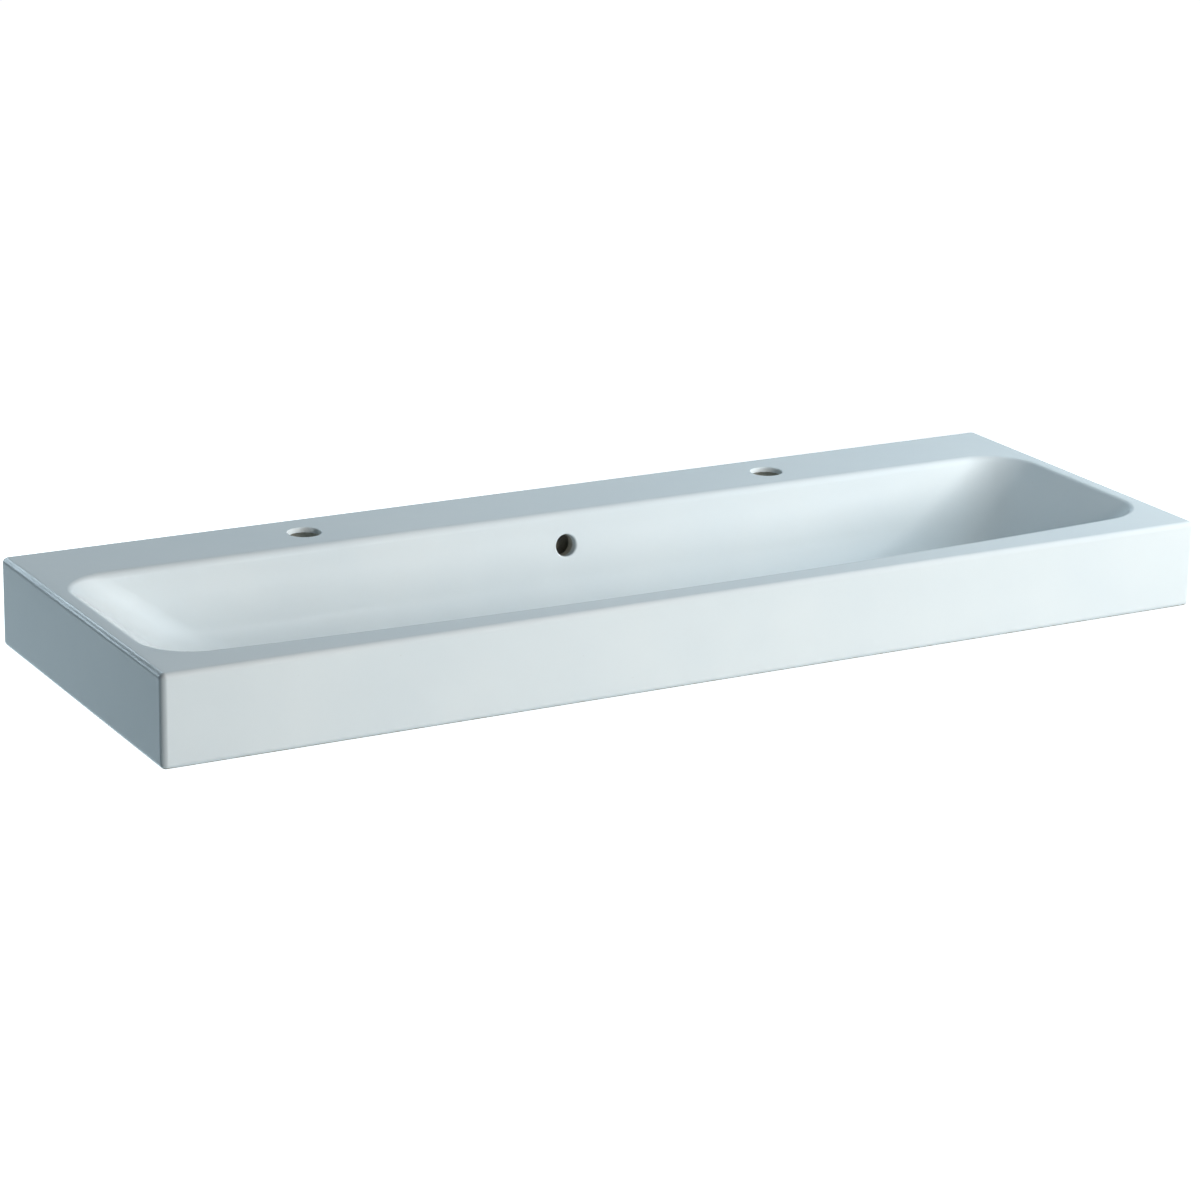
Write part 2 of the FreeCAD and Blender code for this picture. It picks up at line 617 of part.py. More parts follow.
def wall_washer():
    disc = upright(WASHER_RADIUS, PAD_FACE + BUSH_FLANGE, NUT_FACE)
    return disc.cut(upright(STUD_RADIUS + BUSH_FIT, 0, NUT_FACE + CUT_PAST))


def wall_nut():
    nut = hex_nut(STUD_NUT_FLATS, STUD_NUT_HEIGHT, STUD_RADIUS + THREAD_FIT)
    nut.translate(Vector(0, 0, NUT_FACE))
    return nut


# Every node and the shape that goes into it

PARTS = {
    "basin_body": basin_body(),
    "waste_body": waste_body(),
    "waste_flange_seal": waste_flange_seal(),
    "waste_lower_seal": waste_lower_seal(),
    "waste_slip_washer": waste_slip_washer(),
    "waste_backnut": waste_backnut(),
    "plug_cap": plug_cap(),
    "plug_carrier": plug_carrier(),
    "plug_seal": plug_seal(),
    "plug_stem": plug_stem(),
    "push_barrel": push_barrel(),
    "push_barrel_cap": push_barrel_cap(),
    "push_spring": push_spring(),
    "wall_studs": fixing_set(wall_stud),
    "wall_bushes": fixing_set(wall_bush),
    "wall_washers": fixing_set(wall_washer),
    "wall_nuts": fixing_set(wall_nut),
}

os.makedirs("parts", exist_ok=True)
for node, shape in PARTS.items():
    shape.exportStep("parts/" + node + ".step")
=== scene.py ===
import json
import math

import bmesh
import bpy
from mathutils import Matrix, Vector


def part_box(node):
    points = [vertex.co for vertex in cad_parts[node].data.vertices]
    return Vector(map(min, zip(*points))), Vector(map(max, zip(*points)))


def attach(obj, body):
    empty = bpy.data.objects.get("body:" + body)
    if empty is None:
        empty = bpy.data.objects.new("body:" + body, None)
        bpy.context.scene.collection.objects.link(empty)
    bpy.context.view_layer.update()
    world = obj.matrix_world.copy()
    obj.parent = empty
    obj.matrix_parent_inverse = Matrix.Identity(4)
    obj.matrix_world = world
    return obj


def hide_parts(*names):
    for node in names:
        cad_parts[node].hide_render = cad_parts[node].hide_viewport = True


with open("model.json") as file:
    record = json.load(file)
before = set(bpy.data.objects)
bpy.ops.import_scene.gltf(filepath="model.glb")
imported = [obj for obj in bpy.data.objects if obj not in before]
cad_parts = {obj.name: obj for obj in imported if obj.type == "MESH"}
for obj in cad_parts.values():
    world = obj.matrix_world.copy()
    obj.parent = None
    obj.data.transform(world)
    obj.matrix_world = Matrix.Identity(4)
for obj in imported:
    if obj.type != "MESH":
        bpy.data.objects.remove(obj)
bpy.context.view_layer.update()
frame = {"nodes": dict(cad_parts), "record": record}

bl_info = {
    "name": "Hand basin",
    "version": (1, 0, 0),
    "blender": (4, 5, 0),
    "location": "View3D > Sidebar > Hand basin",
    "description": "Dresses a wide hand basin: glazed ceramic, chromed waste, threads and a studio",
    "category": "Object",
}

# The solids' own boxes give the places that the pieces have to keep.
BODY_LOW, BODY_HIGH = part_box("basin_body")
CAP_LOW, CAP_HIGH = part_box("plug_cap")
TAIL_LOW, TAIL_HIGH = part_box("waste_body")
STUD_LOW, STUD_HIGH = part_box("wall_studs")

# The upright axis of the plug and the waste, and the axis that turned pieces are drawn about
WASTE_AXIS = Vector((0, (CAP_LOW.y + CAP_HIGH.y) / 2, 0))
ORIGIN = Vector((0, 0, 0))

# Steps along each stretch of an outline and round a curve
LONG_STEPS = 20
CORNER_STEPS = 12
END_STEPS = 8
ROUND_STEPS = 6
BLEND_STEPS = 16
TURN_STEPS = 96
THREAD_STEPS = 40
QUARTER = [math.pi / 2 * step / ROUND_STEPS for step in range(ROUND_STEPS + 1)]

# Width of a thread's ridge at its foot and at its top, as shares of the pitch, and a nut thread's depth
NUT_RIDGE = (0.92, 0.12)
SCREW_RIDGE = (0.42, 0.06)
THREAD_DEPTH = 0.6134

# Overflow slots in the waste's tail, and arms of its spider
SLOTS = 4
SPIDER_ARMS = 3

# Edges that turn further than this stay sharp.
CERAMIC_SHARP = math.radians(38)
CAP_SHARP = math.radians(50)
THREAD_SHARP = math.radians(32)

# A hole's rounding starts this far above the surface, so that the cut crosses the rounding itself.
MOUTH_LIFT = 0.00004

# Edges shorter than this are closed up after a cut.
SLIVER = 0.00003

# Points closer than this are one point, and points this near a face lie on it.
WELD = 0.000001
NEAR = 0.00001


# Properties

def to_linear(hex_colour):
    """An sRGB hex value as a linear colour."""
    channels = [int(hex_colour[start:start + 2], 16) / 255 for start in (1, 3, 5)]
    return [c / 12.92 if c <= 0.04045 else ((c + 0.055) / 1.055) ** 2.4 for c in channels]


def length(name, default, description):
    return bpy.props.FloatProperty(
        name=name, description=description, default=default, subtype="DISTANCE", unit="LENGTH", precision=5
    )


def angle(name, degrees, description):
    return bpy.props.FloatProperty(
        name=name, description=description, default=math.radians(degrees), subtype="ANGLE", unit="ROTATION"
    )


def share(name, default, description):
    return bpy.props.FloatProperty(name=name, description=description, default=default, subtype="FACTOR")


def power(name, watts, description):
    return bpy.props.FloatProperty(name=name, description=description, default=watts, unit="POWER")


def colour(name, hex_colour, description):
    return bpy.props.FloatVectorProperty(
        name=name, description=description, default=to_linear(hex_colour), subtype="COLOR", min=0, max=1
    )


class HandBasinCeramic(bpy.types.PropertyGroup):
    """Sizes of the ceramic body, in metres"""

    outer_round: length("Outer rounding", 0.006, "Radius along the outside edges")
    upright_round: length("Upright rounding", 0.0065, "Radius of the four upright outside edges")
    skirt_height: length("Skirt height", 0.095, "Height of the front face")
    skirt_wall: length("Skirt wall", 0.012, "Thickness of the front and end walls")
    back_wall: length("Back wall", 0.014, "Thickness of the wall against the building")
    ledge_wall: length("Ledge wall", 0.014, "Thickness of the ledge under the taps")
    side_rim: length("Side rim", 0.019, "Rim beside the bowl, to the sharp edge of its opening")
    ledge: length("Ledge", 0.1, "Ledge behind the bowl")
    front_rim: length("Front rim", 0.0346, "Rim in front of the bowl, at its middle")
    front_lean: angle("Front lean", 4.1, "Turn of the bowed front edge at its corners")
    opening_corner: share("Opening corners", 0.182, "Corner radius as a share of its size, front to back")
    floor_corner: share("Floor corners", 0.407, "Corner radius as a share of its size, front to back")
    end_slope: angle("End slope", 52.0, "Lean of the bowl's ends from upright")
    long_slope: angle("Long slope", 8.0, "Lean of the bowl's front and back from upright")
    bowl_depth: length("Bowl depth", 0.104, "Depth at the edge of the floor")
    floor_fall: length("Floor fall", 0.003, "Fall of the floor towards the waste")
    fall_radius: length("Fall radius", 0.04, "Level disc round the waste")
    floor_blend: length("Floor blend", 0.045, "Radius between the long walls and the floor")
    rim_round: length("Rim rounding", 0.009, "Radius along the opening")
    bowl_wall: length("Bowl wall", 0.012, "Thickness of the bowl")
    waste_from_wall: length("Waste from wall", 0.205, "Distance of the waste from the wall")
    recess_radius: length("Recess radius", 0.033, "Seat of the waste flange")
    recess_depth: length("Recess depth", 0.004, "Depth of that seat")
    waste_hole_radius: length("Waste hole radius", 0.023, "Hole for the waste tail")
    boss_radius: length("Boss radius", 0.044, "Boss under the waste")
    edge_round: length("Edge rounding", 0.001, "Small radius that the glaze leaves on a cast edge")
    glaze_back: length("Glaze from wall", 0.0028, "Distance of the glaze's edge from the wall")
    glaze_foot: length("Glaze from foot", 0.0022, "Height of the glaze's edge above the foot")
    glaze_fade: length("Glaze fade", 0.0004, "Half the width of the glaze's edge")
    glaze_wander: length("Glaze wander", 0.0012, "How far the glaze's edge strays")


class HandBasinHoles(bpy.types.PropertyGroup):
    """Sizes of the holes in the ceramic and of the overflow duct, in metres"""

    tap_radius: length("Tap hole radius", 0.0175, "Radius of each tap hole")
    tap_x: length("Tap hole place", 0.284, "Distance of each tap hole from the middle")
    tap_from_wall: length("Tap hole from wall", 0.051, "Distance of the tap holes from the wall")
    tap_round: length("Tap hole rounding", 0.0015, "Radius at the mouth of a tap hole")
    tap_lip: length("Tap hole lip", 0.0055, "Thickness of the ledge at a tap hole")
    tap_recess: length("Tap recess radius", 0.027, "Recess under the ledge round a tap hole")
    overflow_radius: length("Overflow radius", 0.012, "Radius of the overflow mouth")
    overflow_drop: length("Overflow drop", 0.036, "Depth of the overflow mouth below the rim")
    overflow_round: length("Overflow rounding", 0.002, "Radius at the overflow mouth")
    duct_width: length("Duct width", 0.044, "Inside width of the overflow duct")
    duct_gap: length("Duct gap", 0.015, "Inside depth of the overflow duct")
    duct_wall: length("Duct wall", 0.01, "Wall of the overflow duct")
    duct_round: length("Duct rounding", 0.008, "Radius along the outside of the duct")
    duct_headroom: length("Duct headroom", 0.004, "Room above the mouth in the duct")
    chamber_radius: length("Chamber radius", 0.032, "Ring chamber round the waste")
    chamber_height: length("Chamber height", 0.01, "Height of the ring chamber")
    fixing_radius: length("Fixing hole radius", 0.012, "Hole for each wall stud and its bush")
    pad_radius: length("Pad radius", 0.025, "Raised pad behind each fixing hole")
    pad: length("Pad", 0.004, "Height of that pad")


class HandBasinMetal(bpy.types.PropertyGroup):
    """Sizes of the waste, the plug and the wall studs, in metres"""

    cap_edge: length("Cap edge", 0.0016, "Upright edge of the plug cap")
    cap_lip: length("Cap lip", 0.0006, "Radius of the cap's lower lip")
    cap_hollow: length("Cap hollow", 0.0009, "Hollow under the cap")
    cap_hollow_reach: share("Cap hollow reach", 0.87, "Level part of the hollow, of the cap's radius")
    cap_hollow_mouth: share("Cap hollow mouth", 0.935, "Edge of the hollow, of the cap's radius")
    flange: length("Flange", 0.003, "Thickness of the waste flange")
    flange_bevel: length("Flange bevel", 0.0008, "Bevel round the flange")
    seat_radius: length("Seat radius", 0.024, "Top of the plug's cone seat")
    tail_radius: length("Tail radius", 0.020955, "Outside of the waste's thread")
    tail_bore: length("Tail bore", 0.0175, "Inside radius of the waste")
    tail_pitch: length("Tail pitch", 0.002309, "Pitch of the waste's thread")
    tail_plain: length("Plain tail", 0.026, "Plain tube between the flange and the thread")
    neck_from_foot: length("Neck from foot", 0.015, "Distance of the thread's neck from the tail's foot")
    neck: length("Neck", 0.002, "Height of the neck between the two threads")
    slot_width: length("Slot width", 0.016, "Width of each overflow slot in the tail")
    slot_edge: length("Slot edge", 0.0005, "Clearance of each slot from the ring chamber")
    spider_drop: length("Spider drop", 0.028, "Depth of the spider below the flange")
    spider_height: length("Spider height", 0.006, "Height of the spider's arms")
    spider_arm: length("Spider arm", 0.004, "Width of the spider's arms")
    spider_boss: length("Spider boss", 0.01, "Outside radius of the spider's boss")
    spider_bore: length("Spider bore", 0.00705, "Bore of the spider's boss")
    stud_pitch: length("Stud pitch", 0.0015, "Pitch of the nut's end of a wall stud")
    screw_pitch: length("Screw pitch", 0.0045, "Pitch of the screw end in the wall")
    screw_root: length("Screw root", 0.0034, "Root radius of the screw end")
    shank_radius: length("Shank radius", 0.0045, "Plain shank between the two threads")
    shank_start: length("Shank start", -0.001, "Where the shank starts, on the basin's side of the wall")
    shank_stop: length("Shank stop", 0.004, "Where the shank stops, in the wall")
    screw_tip: length("Screw tip", 0.008, "Length of the tapered tip")
    tip_radius: length("Tip radius", 0.0015, "Radius of the blunt tip")
    inner_studs: length("Inner studs", 0.28, "Distance between the two inner studs")
    outer_studs: length("Outer studs", 0.84, "Distance between the two outer studs")


class HandBasinColours(bpy.types.PropertyGroup):
    """Colours of the finishes"""

    glaze: colour("Glaze", "#ECF3F5", "White glaze")
    glaze_pool: colour("Glaze, thick", "#E8F0F3", "The same glaze where it lies thicker")
    # This grey is also painted shade where it fills the narrow space behind the bowl, seen through the tap
    # holes.
    bisque: colour("Bisque", "#BDB8AD", "Fired body where no glaze is")
    chrome: colour("Chrome", "#D9DCE0", "Polished chrome plate")
    brass: colour("Brass", "#C8A45A", "Machined brass")
    rubber: colour("Rubber", "#1B1B1C", "Moulded rubber")
    nylon: colour("Nylon", "#E4E2D8", "Natural nylon")
    acetal: colour("Acetal", "#5B5E62", "Grey acetal")
    stainless: colour("Stainless", "#B9BBBD", "Drawn stainless steel")
    zinc: colour("Zinc", "#C3CAD2", "Bright zinc plate")
    floor: colour("Floor", "#C1D2D9", "Studio floor")
    daylight: colour("Daylight", "#FFFBF7", "Light of the front, right and back lights")
    surroundings: colour("Surroundings", "#DDF3FF", "Cool white all round and in two lights")


class HandBasinStudio(bpy.types.PropertyGroup):
    """Camera, lights and floor"""

    camera_place: bpy.props.FloatVectorProperty(
        name="Camera place",
        description="Where the camera stands",
        default=(-1.840381, -3.425629, 1.140316),
        subtype="TRANSLATION",
        unit="LENGTH",
    )
    camera_yaw: angle("Camera yaw", 29.563, "Turn of the view to the right of straight ahead")
    camera_pitch: angle("Camera pitch", 17.429, "How far the view looks down")
    camera_roll: angle("Camera roll", 1.278, "Tilt of the camera about its view")
    lens: bpy.props.FloatProperty(
        name="Lens", description="Focal length on a 36 mm wide picture", default=110.6, unit="CAMERA"
    )
    front_light: power("Front light", 79.0, "Softbox in front, a little to the right")
    right_light: power("Right light", 85.5, "Softbox far out to the right")
    over_light: power("Over light", 7.0, "Small softbox above the right end")
    edge_light: power("Edge light", 18.0, "Slanted strip behind the left end")
    back_light: power("Back light", 30.0, "Low softbox behind, for the wall side")
    fill: share("Fill", 0.02, "Even light from all round")
    floor_glow: share("Floor glow", 0.82, "Glow of the floor under the basin, where 1 is white")
    floor_drop: length("Floor drop", 0.85, "Height of the basin's rim above the floor")
    floor_half: length("Floor half", 12.0, "Half the width of the floor")
    glow_reach: length("Glow reach", 3.0, "Distance at which the floor is white")


# Outlines of the ceramic, worked out as rings of points from the back's middle, clockwise from above

def rounded_outline(half, back, front, corner, lean, z):
    """A rounded oblong whose front bows out by the lean."""
    corner_x = half - corner
    front_y = front + corner + corner_x * math.tan(lean / 2)
    back_y = back - corner
    front_end = Vector((corner_x + corner * math.sin(lean), front_y - corner * math.cos(lean)))
    right = [(corner_x * step / LONG_STEPS, back) for step in range(LONG_STEPS)]
    for step in range(CORNER_STEPS):
        turn = math.pi / 2 * (1 - step / CORNER_STEPS)
        right.append((corner_x + corner * math.cos(turn), back_y + corner * math.sin(turn)))
    for step in range(END_STEPS):
        right.append((half, back_y + (front_y - back_y) * step / END_STEPS))
    for step in range(CORNER_STEPS):
        turn = (lean - math.pi / 2) * step / CORNER_STEPS
        right.append((corner_x + corner * math.cos(turn), front_y + corner * math.sin(turn)))
    for step in range(LONG_STEPS + 1):
        along = 1 - step / LONG_STEPS
        right.append((front_end.x * along, front + (front_end.y - front) * along**2))
    left = [(-x, y) for x, y in reversed(right[1:-1])]
    return [Vector((x, y, z)) for x, y in right + left]


def box_outline(inset, back_inset, corner, z):
    """The outside of the box, moved in by an inset."""
    half = BODY_HIGH.x - inset
    return rounded_outline(half, BODY_HIGH.y - back_inset, BODY_LOW.y + inset, corner, 0.0, z)


def wall_inset(ceramic, depth, slope, blend, grow):
    """How far a bowl wall has come in at a depth, and the part of the grown thickness that lies level."""
    centre_depth = ceramic.bowl_depth - blend
    radius = blend + grow
    lever = (depth - centre_depth) / radius
    if lever <= math.sin(slope):
        return depth * math.tan(slope) - grow / math.cos(slope), grow * math.cos(slope)
    level = math.sqrt(max(0.0, 1 - lever**2))
    centre_inset = (centre_depth + blend * math.sin(slope)) * math.tan(slope) + blend * math.cos(slope)
    return centre_inset - radius * level, grow * level


def bowl_outline(ceramic, depth, grow):
    """The bowl's outline at a depth below the rim, moved outwards by a wall thickness."""
    end_blend = (1 - math.sin(ceramic.long_slope)) / (1 - math.sin(ceramic.end_slope)) * ceramic.floor_blend
    end_inset, _ = wall_inset(ceramic, depth, ceramic.end_slope, end_blend, grow)
    long_inset, level_grow = wall_inset(ceramic, depth, ceramic.long_slope, ceramic.floor_blend, grow)
    floor_inset, _ = wall_inset(ceramic, ceramic.bowl_depth, ceramic.long_slope, ceramic.floor_blend, 0.0)
    inside_inset = long_inset + level_grow
    way_down = inside_inset / floor_inset
    corner_share = ceramic.opening_corner + (ceramic.floor_corner - ceramic.opening_corner) * way_down
    back = BODY_HIGH.y - ceramic.ledge
    front = BODY_LOW.y + ceramic.front_rim
    corner = corner_share * (back - front - 2 * inside_inset) + level_grow
    half = BODY_HIGH.x - ceramic.side_rim - end_inset
    z = BODY_HIGH.z - depth
    return rounded_outline(half, back - long_inset, front + long_inset, corner, ceramic.front_lean, z)


def blend_depths(ceramic, grow):
    """Depths of the rings between the bowl's straight walls and its floor, from the top."""
    centre_depth = ceramic.bowl_depth - ceramic.floor_blend
    turns = [step / BLEND_STEPS for step in range(BLEND_STEPS + 1)]
    turns = [ceramic.long_slope + (math.pi / 2 - ceramic.long_slope) * turn for turn in turns]
    return [centre_depth + (ceramic.floor_blend + grow) * math.sin(turn) for turn in turns]


def opening_rings(ceramic):
    """The rounded rim of the opening, then the bowl's straight walls."""
    depth = blend_depths(ceramic, 0.0)[0]
    edge = bowl_outline(ceramic, 0.0, 0.0)
    foot = bowl_outline(ceramic, depth, 0.0)
    up = Vector((0, 0, 1))
    places = []
    for here, below, before, after in zip(edge, foot, edge[-1:] + edge[:-1], edge[1:] + edge[:1]):
        outwards = up.cross(after - before).normalized()
        drift = (below - here) / depth
        slope = math.atan(-drift.dot(outwards))
        turn = math.pi / 2 - slope
        sideways = drift + outwards * math.tan(slope) + up
        places.append((here, drift, outwards, turn, sideways))
    rings = []
    for step in range(ROUND_STEPS + 1):
        ring = []
        for here, drift, outwards, turn, sideways in places:
            bend = turn * step / ROUND_STEPS
            out = ceramic.rim_round * (math.tan(turn / 2) - math.sin(bend))
            down = ceramic.rim_round * (1 - math.cos(bend))
            ring.append(here + outwards * out + sideways * down - up * down)
        rings.append(ring)
    for step in range(1, END_STEPS):
        rings.append([top.lerp(below, step / END_STEPS) for top, below in zip(rings[ROUND_STEPS], foot)])
    return rings


def circle_ring(ceramic, outline, radius, z):
    """A ring round the waste, with each point where the outline's point lies as seen from the waste."""
    centre = Vector((0, -ceramic.waste_from_wall, z))
    rays = [Vector((point.x, point.y - centre.y, 0)).normalized() for point in outline]
    return [centre + ray * radius for ray in rays]


def ceramic_rings(ceramic):
    """Rings over the ceramic: up the outside, into the bowl, through the waste and back underneath."""
    top, foot = BODY_HIGH.z, BODY_HIGH.z - ceramic.skirt_height
    radius, small = ceramic.outer_round, ceramic.edge_round
    rings = []
    for turn in QUARTER:
        inset = radius * (1 - math.sin(turn))
        z = foot + radius * (1 - math.cos(turn))
        rings.append(box_outline(inset, inset, ceramic.upright_round - inset, z))
    for turn in QUARTER:
        inset = radius * (1 - math.cos(turn))
        z = top - radius * (1 - math.sin(turn))
        rings.append(box_outline(inset, inset, ceramic.upright_round - inset, z))
    rings += opening_rings(ceramic)
    rings += [bowl_outline(ceramic, depth, 0.0) for depth in blend_depths(ceramic, 0.0)]
    rings += waste_rings(ceramic, rings[-1])
    rings += under_rings(ceramic)
    for z, grow in ((top - ceramic.ledge_wall, 0.0), (foot + small, 0.0), (foot, small)):
        inset, back_inset = ceramic.skirt_wall - grow, ceramic.back_wall - grow
        rings.append(box_outline(inset, back_inset, ceramic.skirt_wall + grow, z))
    return rings


def waste_rings(ceramic, floor_edge):
    """The falling floor, the flange's seat and the hole, down to the foot of the boss."""
    floor = floor_edge[0].z - ceramic.floor_fall
    seat = floor - ceramic.recess_depth
    small = ceramic.edge_round
    disc = circle_ring(ceramic, floor_edge, ceramic.fall_radius, floor)
    rings = []
    for step in range(1, ROUND_STEPS + 1):
        rings.append([edge.lerp(inner, step / ROUND_STEPS) for edge, inner in zip(floor_edge, disc)])
    hole, recess = ceramic.waste_hole_radius, ceramic.recess_radius
    boss = ceramic.boss_radius
    steps = [
        (recess + small, floor),
        (recess, floor - small),
        (recess, seat),
        (hole, seat),
        (hole, BODY_LOW.z),
        (boss - small, BODY_LOW.z),
        (boss, BODY_LOW.z + small),
        (boss, floor - ceramic.bowl_wall),
    ]
    return rings + [circle_ring(ceramic, floor_edge, radius, z) for radius, z in steps]


def under_rings(ceramic):
    """The bowl's outside, from its floor up to the underside of the ledge."""
    grow = ceramic.bowl_wall
    rings = [bowl_outline(ceramic, depth, grow) for depth in reversed(blend_depths(ceramic, grow))]
    return rings + [bowl_outline(ceramic, ceramic.ledge_wall, grow)]


# Mesh helpers

def ring_edges(ring):
    """The edges round a ring of vertices."""
    pairs = zip(ring, ring[1:] + ring[:1])
    return [edge for a, b in pairs for edge in a.link_edges if edge.other_vert(a) is b]


def verts_of(made):
    """The vertices among what a mesh operation made."""
    return [item for item in made["geom"] if isinstance(item, bmesh.types.BMVert)]


def extrude_ring(bm, ring, points):
    """Extrude a ring and lay the new ring on its points."""
    fresh = set(verts_of(bmesh.ops.extrude_edge_only(bm, edges=ring_edges(ring))))
    new_ring = []
    for vert, point in zip(ring, points):
        new = next(edge.other_vert(vert) for edge in vert.link_edges if edge.other_vert(vert) in fresh)
        new.co = point
        new_ring.append(new)
    return new_ring


def skin(bm, rings):
    """A closed surface over rings of points, the last joined to the first."""
    first = bmesh.ops.create_circle(bm, segments=len(rings[0]), radius=1.0)["verts"]
    for vert, point in zip(first, rings[0]):
        vert.co = point
    last = first
    for points in rings[1:]:
        last = extrude_ring(bm, last, points)
    bmesh.ops.bridge_loops(bm, edges=ring_edges(first) + ring_edges(last))
    bmesh.ops.recalc_face_normals(bm, faces=bm.faces)


def draw_line(bm, points):
    """A line of edges through a few points."""
    verts = [bm.verts.new(point) for point in points]
    edges = [bm.edges.new(pair) for pair in zip(verts, verts[1:])]
    return verts + edges


def turn_profile(bm, profile, centre):
    """Spin a profile of radius and height about an upright axis through a centre."""
    line = draw_line(bm, [(centre.x + radius, centre.y, centre.z + height) for radius, height in profile])
    bmesh.ops.spin(
        bm, geom=line, cent=centre, axis=(0, 0, 1), angle=2 * math.pi, steps=TURN_STEPS, use_merge=True
    )
    bmesh.ops.remove_doubles(bm, verts=bm.verts, dist=WELD)
    bmesh.ops.recalc_face_normals(bm, faces=bm.faces)


def box_verts(bm, low, high):
    """A box between two corners."""
    size = [b - a for a, b in zip(low, high)]
    middle = [(a + b) / 2 for a, b in zip(low, high)]
    place = Matrix.Translation(middle) @ Matrix.Diagonal((*size, 1.0))
    return bmesh.ops.create_cube(bm, size=1.0, matrix=place)["verts"]


def add_rod(bm, radius, start, stop):
    """A closed rod between two points."""
    way = stop - start
    place = Matrix.Translation((start + stop) / 2) @ way.to_track_quat("Z", "Y").to_matrix().to_4x4()
    bmesh.ops.create_cone(
        bm, cap_ends=True, segments=TURN_STEPS, radius1=radius, radius2=radius, depth=way.length,
        matrix=place,
    )


def turn_loop(bm, profile):
    """Spin a closed profile that stands clear of the upright axis through the origin."""
    turn_profile(bm, profile + profile[:1], ORIGIN)


def thread_ridge(bm, root, crest, pitch, shares, start, stop, envelope):
    """A helical ridge round the upright axis, held inside an envelope of heights and radii."""
    foot, top = shares[0] * pitch, shares[1] * pitch
    sunk = root - top
    middle = start + foot / 2
    corners = [(sunk, -foot / 2), (crest, -top / 2), (crest, top / 2), (sunk, foot / 2), (sunk, -foot / 2)]
    turns = (stop - start - foot) / pitch
    steps = round(turns * THREAD_STEPS)
    ridge = bmesh.new()
    line = draw_line(ridge, [(radius, 0, middle + height) for radius, height in corners])
    rise = (0, 0, pitch * turns / steps)
    bmesh.ops.spin(ridge, geom=line, axis=(0, 0, 1), dvec=rise, angle=2 * math.pi * turns, steps=steps)
    bmesh.ops.remove_doubles(ridge, verts=ridge.verts, dist=WELD)
    bmesh.ops.holes_fill(ridge, edges=[edge for edge in ridge.edges if edge.is_boundary], sides=4)
    for vert in ridge.verts:
        inside = min(1.0, limit_at(envelope, vert.co.z) / vert.co.xy.length)
        vert.co.xy *= inside
    bmesh.ops.recalc_face_normals(ridge, faces=ridge.faces)
    absorb(bm, ridge)


def absorb(bm, other):
    """Move another mesh's faces into this one."""
    mesh = bpy.data.meshes.new("absorbed")
    other.to_mesh(mesh)
    other.free()
    bm.from_mesh(mesh)
    bpy.data.meshes.remove(mesh)


def limit_at(envelope, height):
    """The radius of an envelope at a height, straight between its points."""
    for (low, low_radius), (high, high_radius) in zip(envelope, envelope[1:]):
        if height <= high:
            way = max(0.0, (height - low) / (high - low))
            return low_radius + (high_radius - low_radius) * way
    return envelope[-1][1]


def object_from(name, bm):
    """A new object in the scene, which takes over a mesh."""
    mesh = bpy.data.meshes.new(name)
    bm.to_mesh(mesh)
    bm.free()
    piece = bpy.data.objects.new(name, mesh)
    bpy.context.scene.collection.objects.link(piece)
    return piece


def carve(piece, tool_mesh, operation):
    """Join a tool to a piece or cut it away, and remove the tool."""
    tool = object_from("tool", tool_mesh)
    modifier = piece.modifiers.new("Carve", "BOOLEAN")
    modifier.object = tool
    modifier.operation = operation
    modifier.solver = "EXACT"
    graph = bpy.context.evaluated_depsgraph_get()
    old = piece.data
    piece.data = bpy.data.meshes.new_from_object(piece.evaluated_get(graph))
    piece.modifiers.clear()
    bpy.data.meshes.remove(old)
    bpy.data.meshes.remove(tool.data)
    bm = bmesh.new()
    bm.from_mesh(piece.data)
    bmesh.ops.triangulate(bm, faces=[face for face in bm.faces if len(face.verts) > 4])
    bmesh.ops.dissolve_degenerate(bm, dist=SLIVER, edges=bm.edges)
    bmesh.ops.holes_fill(bm, edges=[edge for edge in bm.edges if edge.is_boundary], sides=4)
    bm.to_mesh(piece.data)
    bm.free()


def smooth_piece(piece, sharp_angle):
    """Shade smooth over everything but the sharp edges, with flat faces kept flat."""
    piece.data.shade_smooth()
    piece.data.set_sharp_from_angle(angle=sharp_angle)
    modifier = piece.modifiers.new("Weighted normals", "WEIGHTED_NORMAL")
    modifier.keep_sharp = True


def place_piece(scene, piece, body, slot, node):
    """Give a finished piece its material and stand it for a CAD node."""
    piece.data.materials.clear()
    piece.data.materials.append(finish(scene, slot))
    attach(piece, body)
    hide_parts(node)


# Material helpers

def per_metre(millimetres):
    """Pattern scale for a feature of a real size."""
    return 1000.0 / millimetres


def add_node(tree, kind, inputs, **settings):
    """Add a shader node with its settings; an input given as a socket is linked."""
    node = tree.nodes.new("ShaderNode" + kind)
    for name, value in settings.items():
        setattr(node, name, value)
    for name, value in inputs.items():
        if isinstance(value, bpy.types.NodeSocket):
            tree.links.new(value, node.inputs[name])
        else:
            node.inputs[name].default_value = value
    return node


def new_material(name):
    """An empty node material, its tree and the place on the piece."""
    material = bpy.data.materials.new(name)
    material.use_nodes = True
    tree = material.node_tree
    tree.nodes.clear()
    return material, tree, add_node(tree, "TexCoord", {}).outputs["Object"]


def rgba(value):
    return (*value, 1.0)


def calculate(tree, operation, *values):
    """The result of a calculation on numbers and sockets."""
    return add_node(tree, "Math", dict(enumerate(values)), operation=operation).outputs[0]


def noise(tree, place, size_mm, detail, distortion=0.0):
    """Cloudy noise whose patches have a real size."""
    pattern = {"Vector": place, "Scale": per_metre(size_mm), "Detail": detail, "Distortion": distortion}
    return add_node(tree, "TexNoise", pattern).outputs[0]


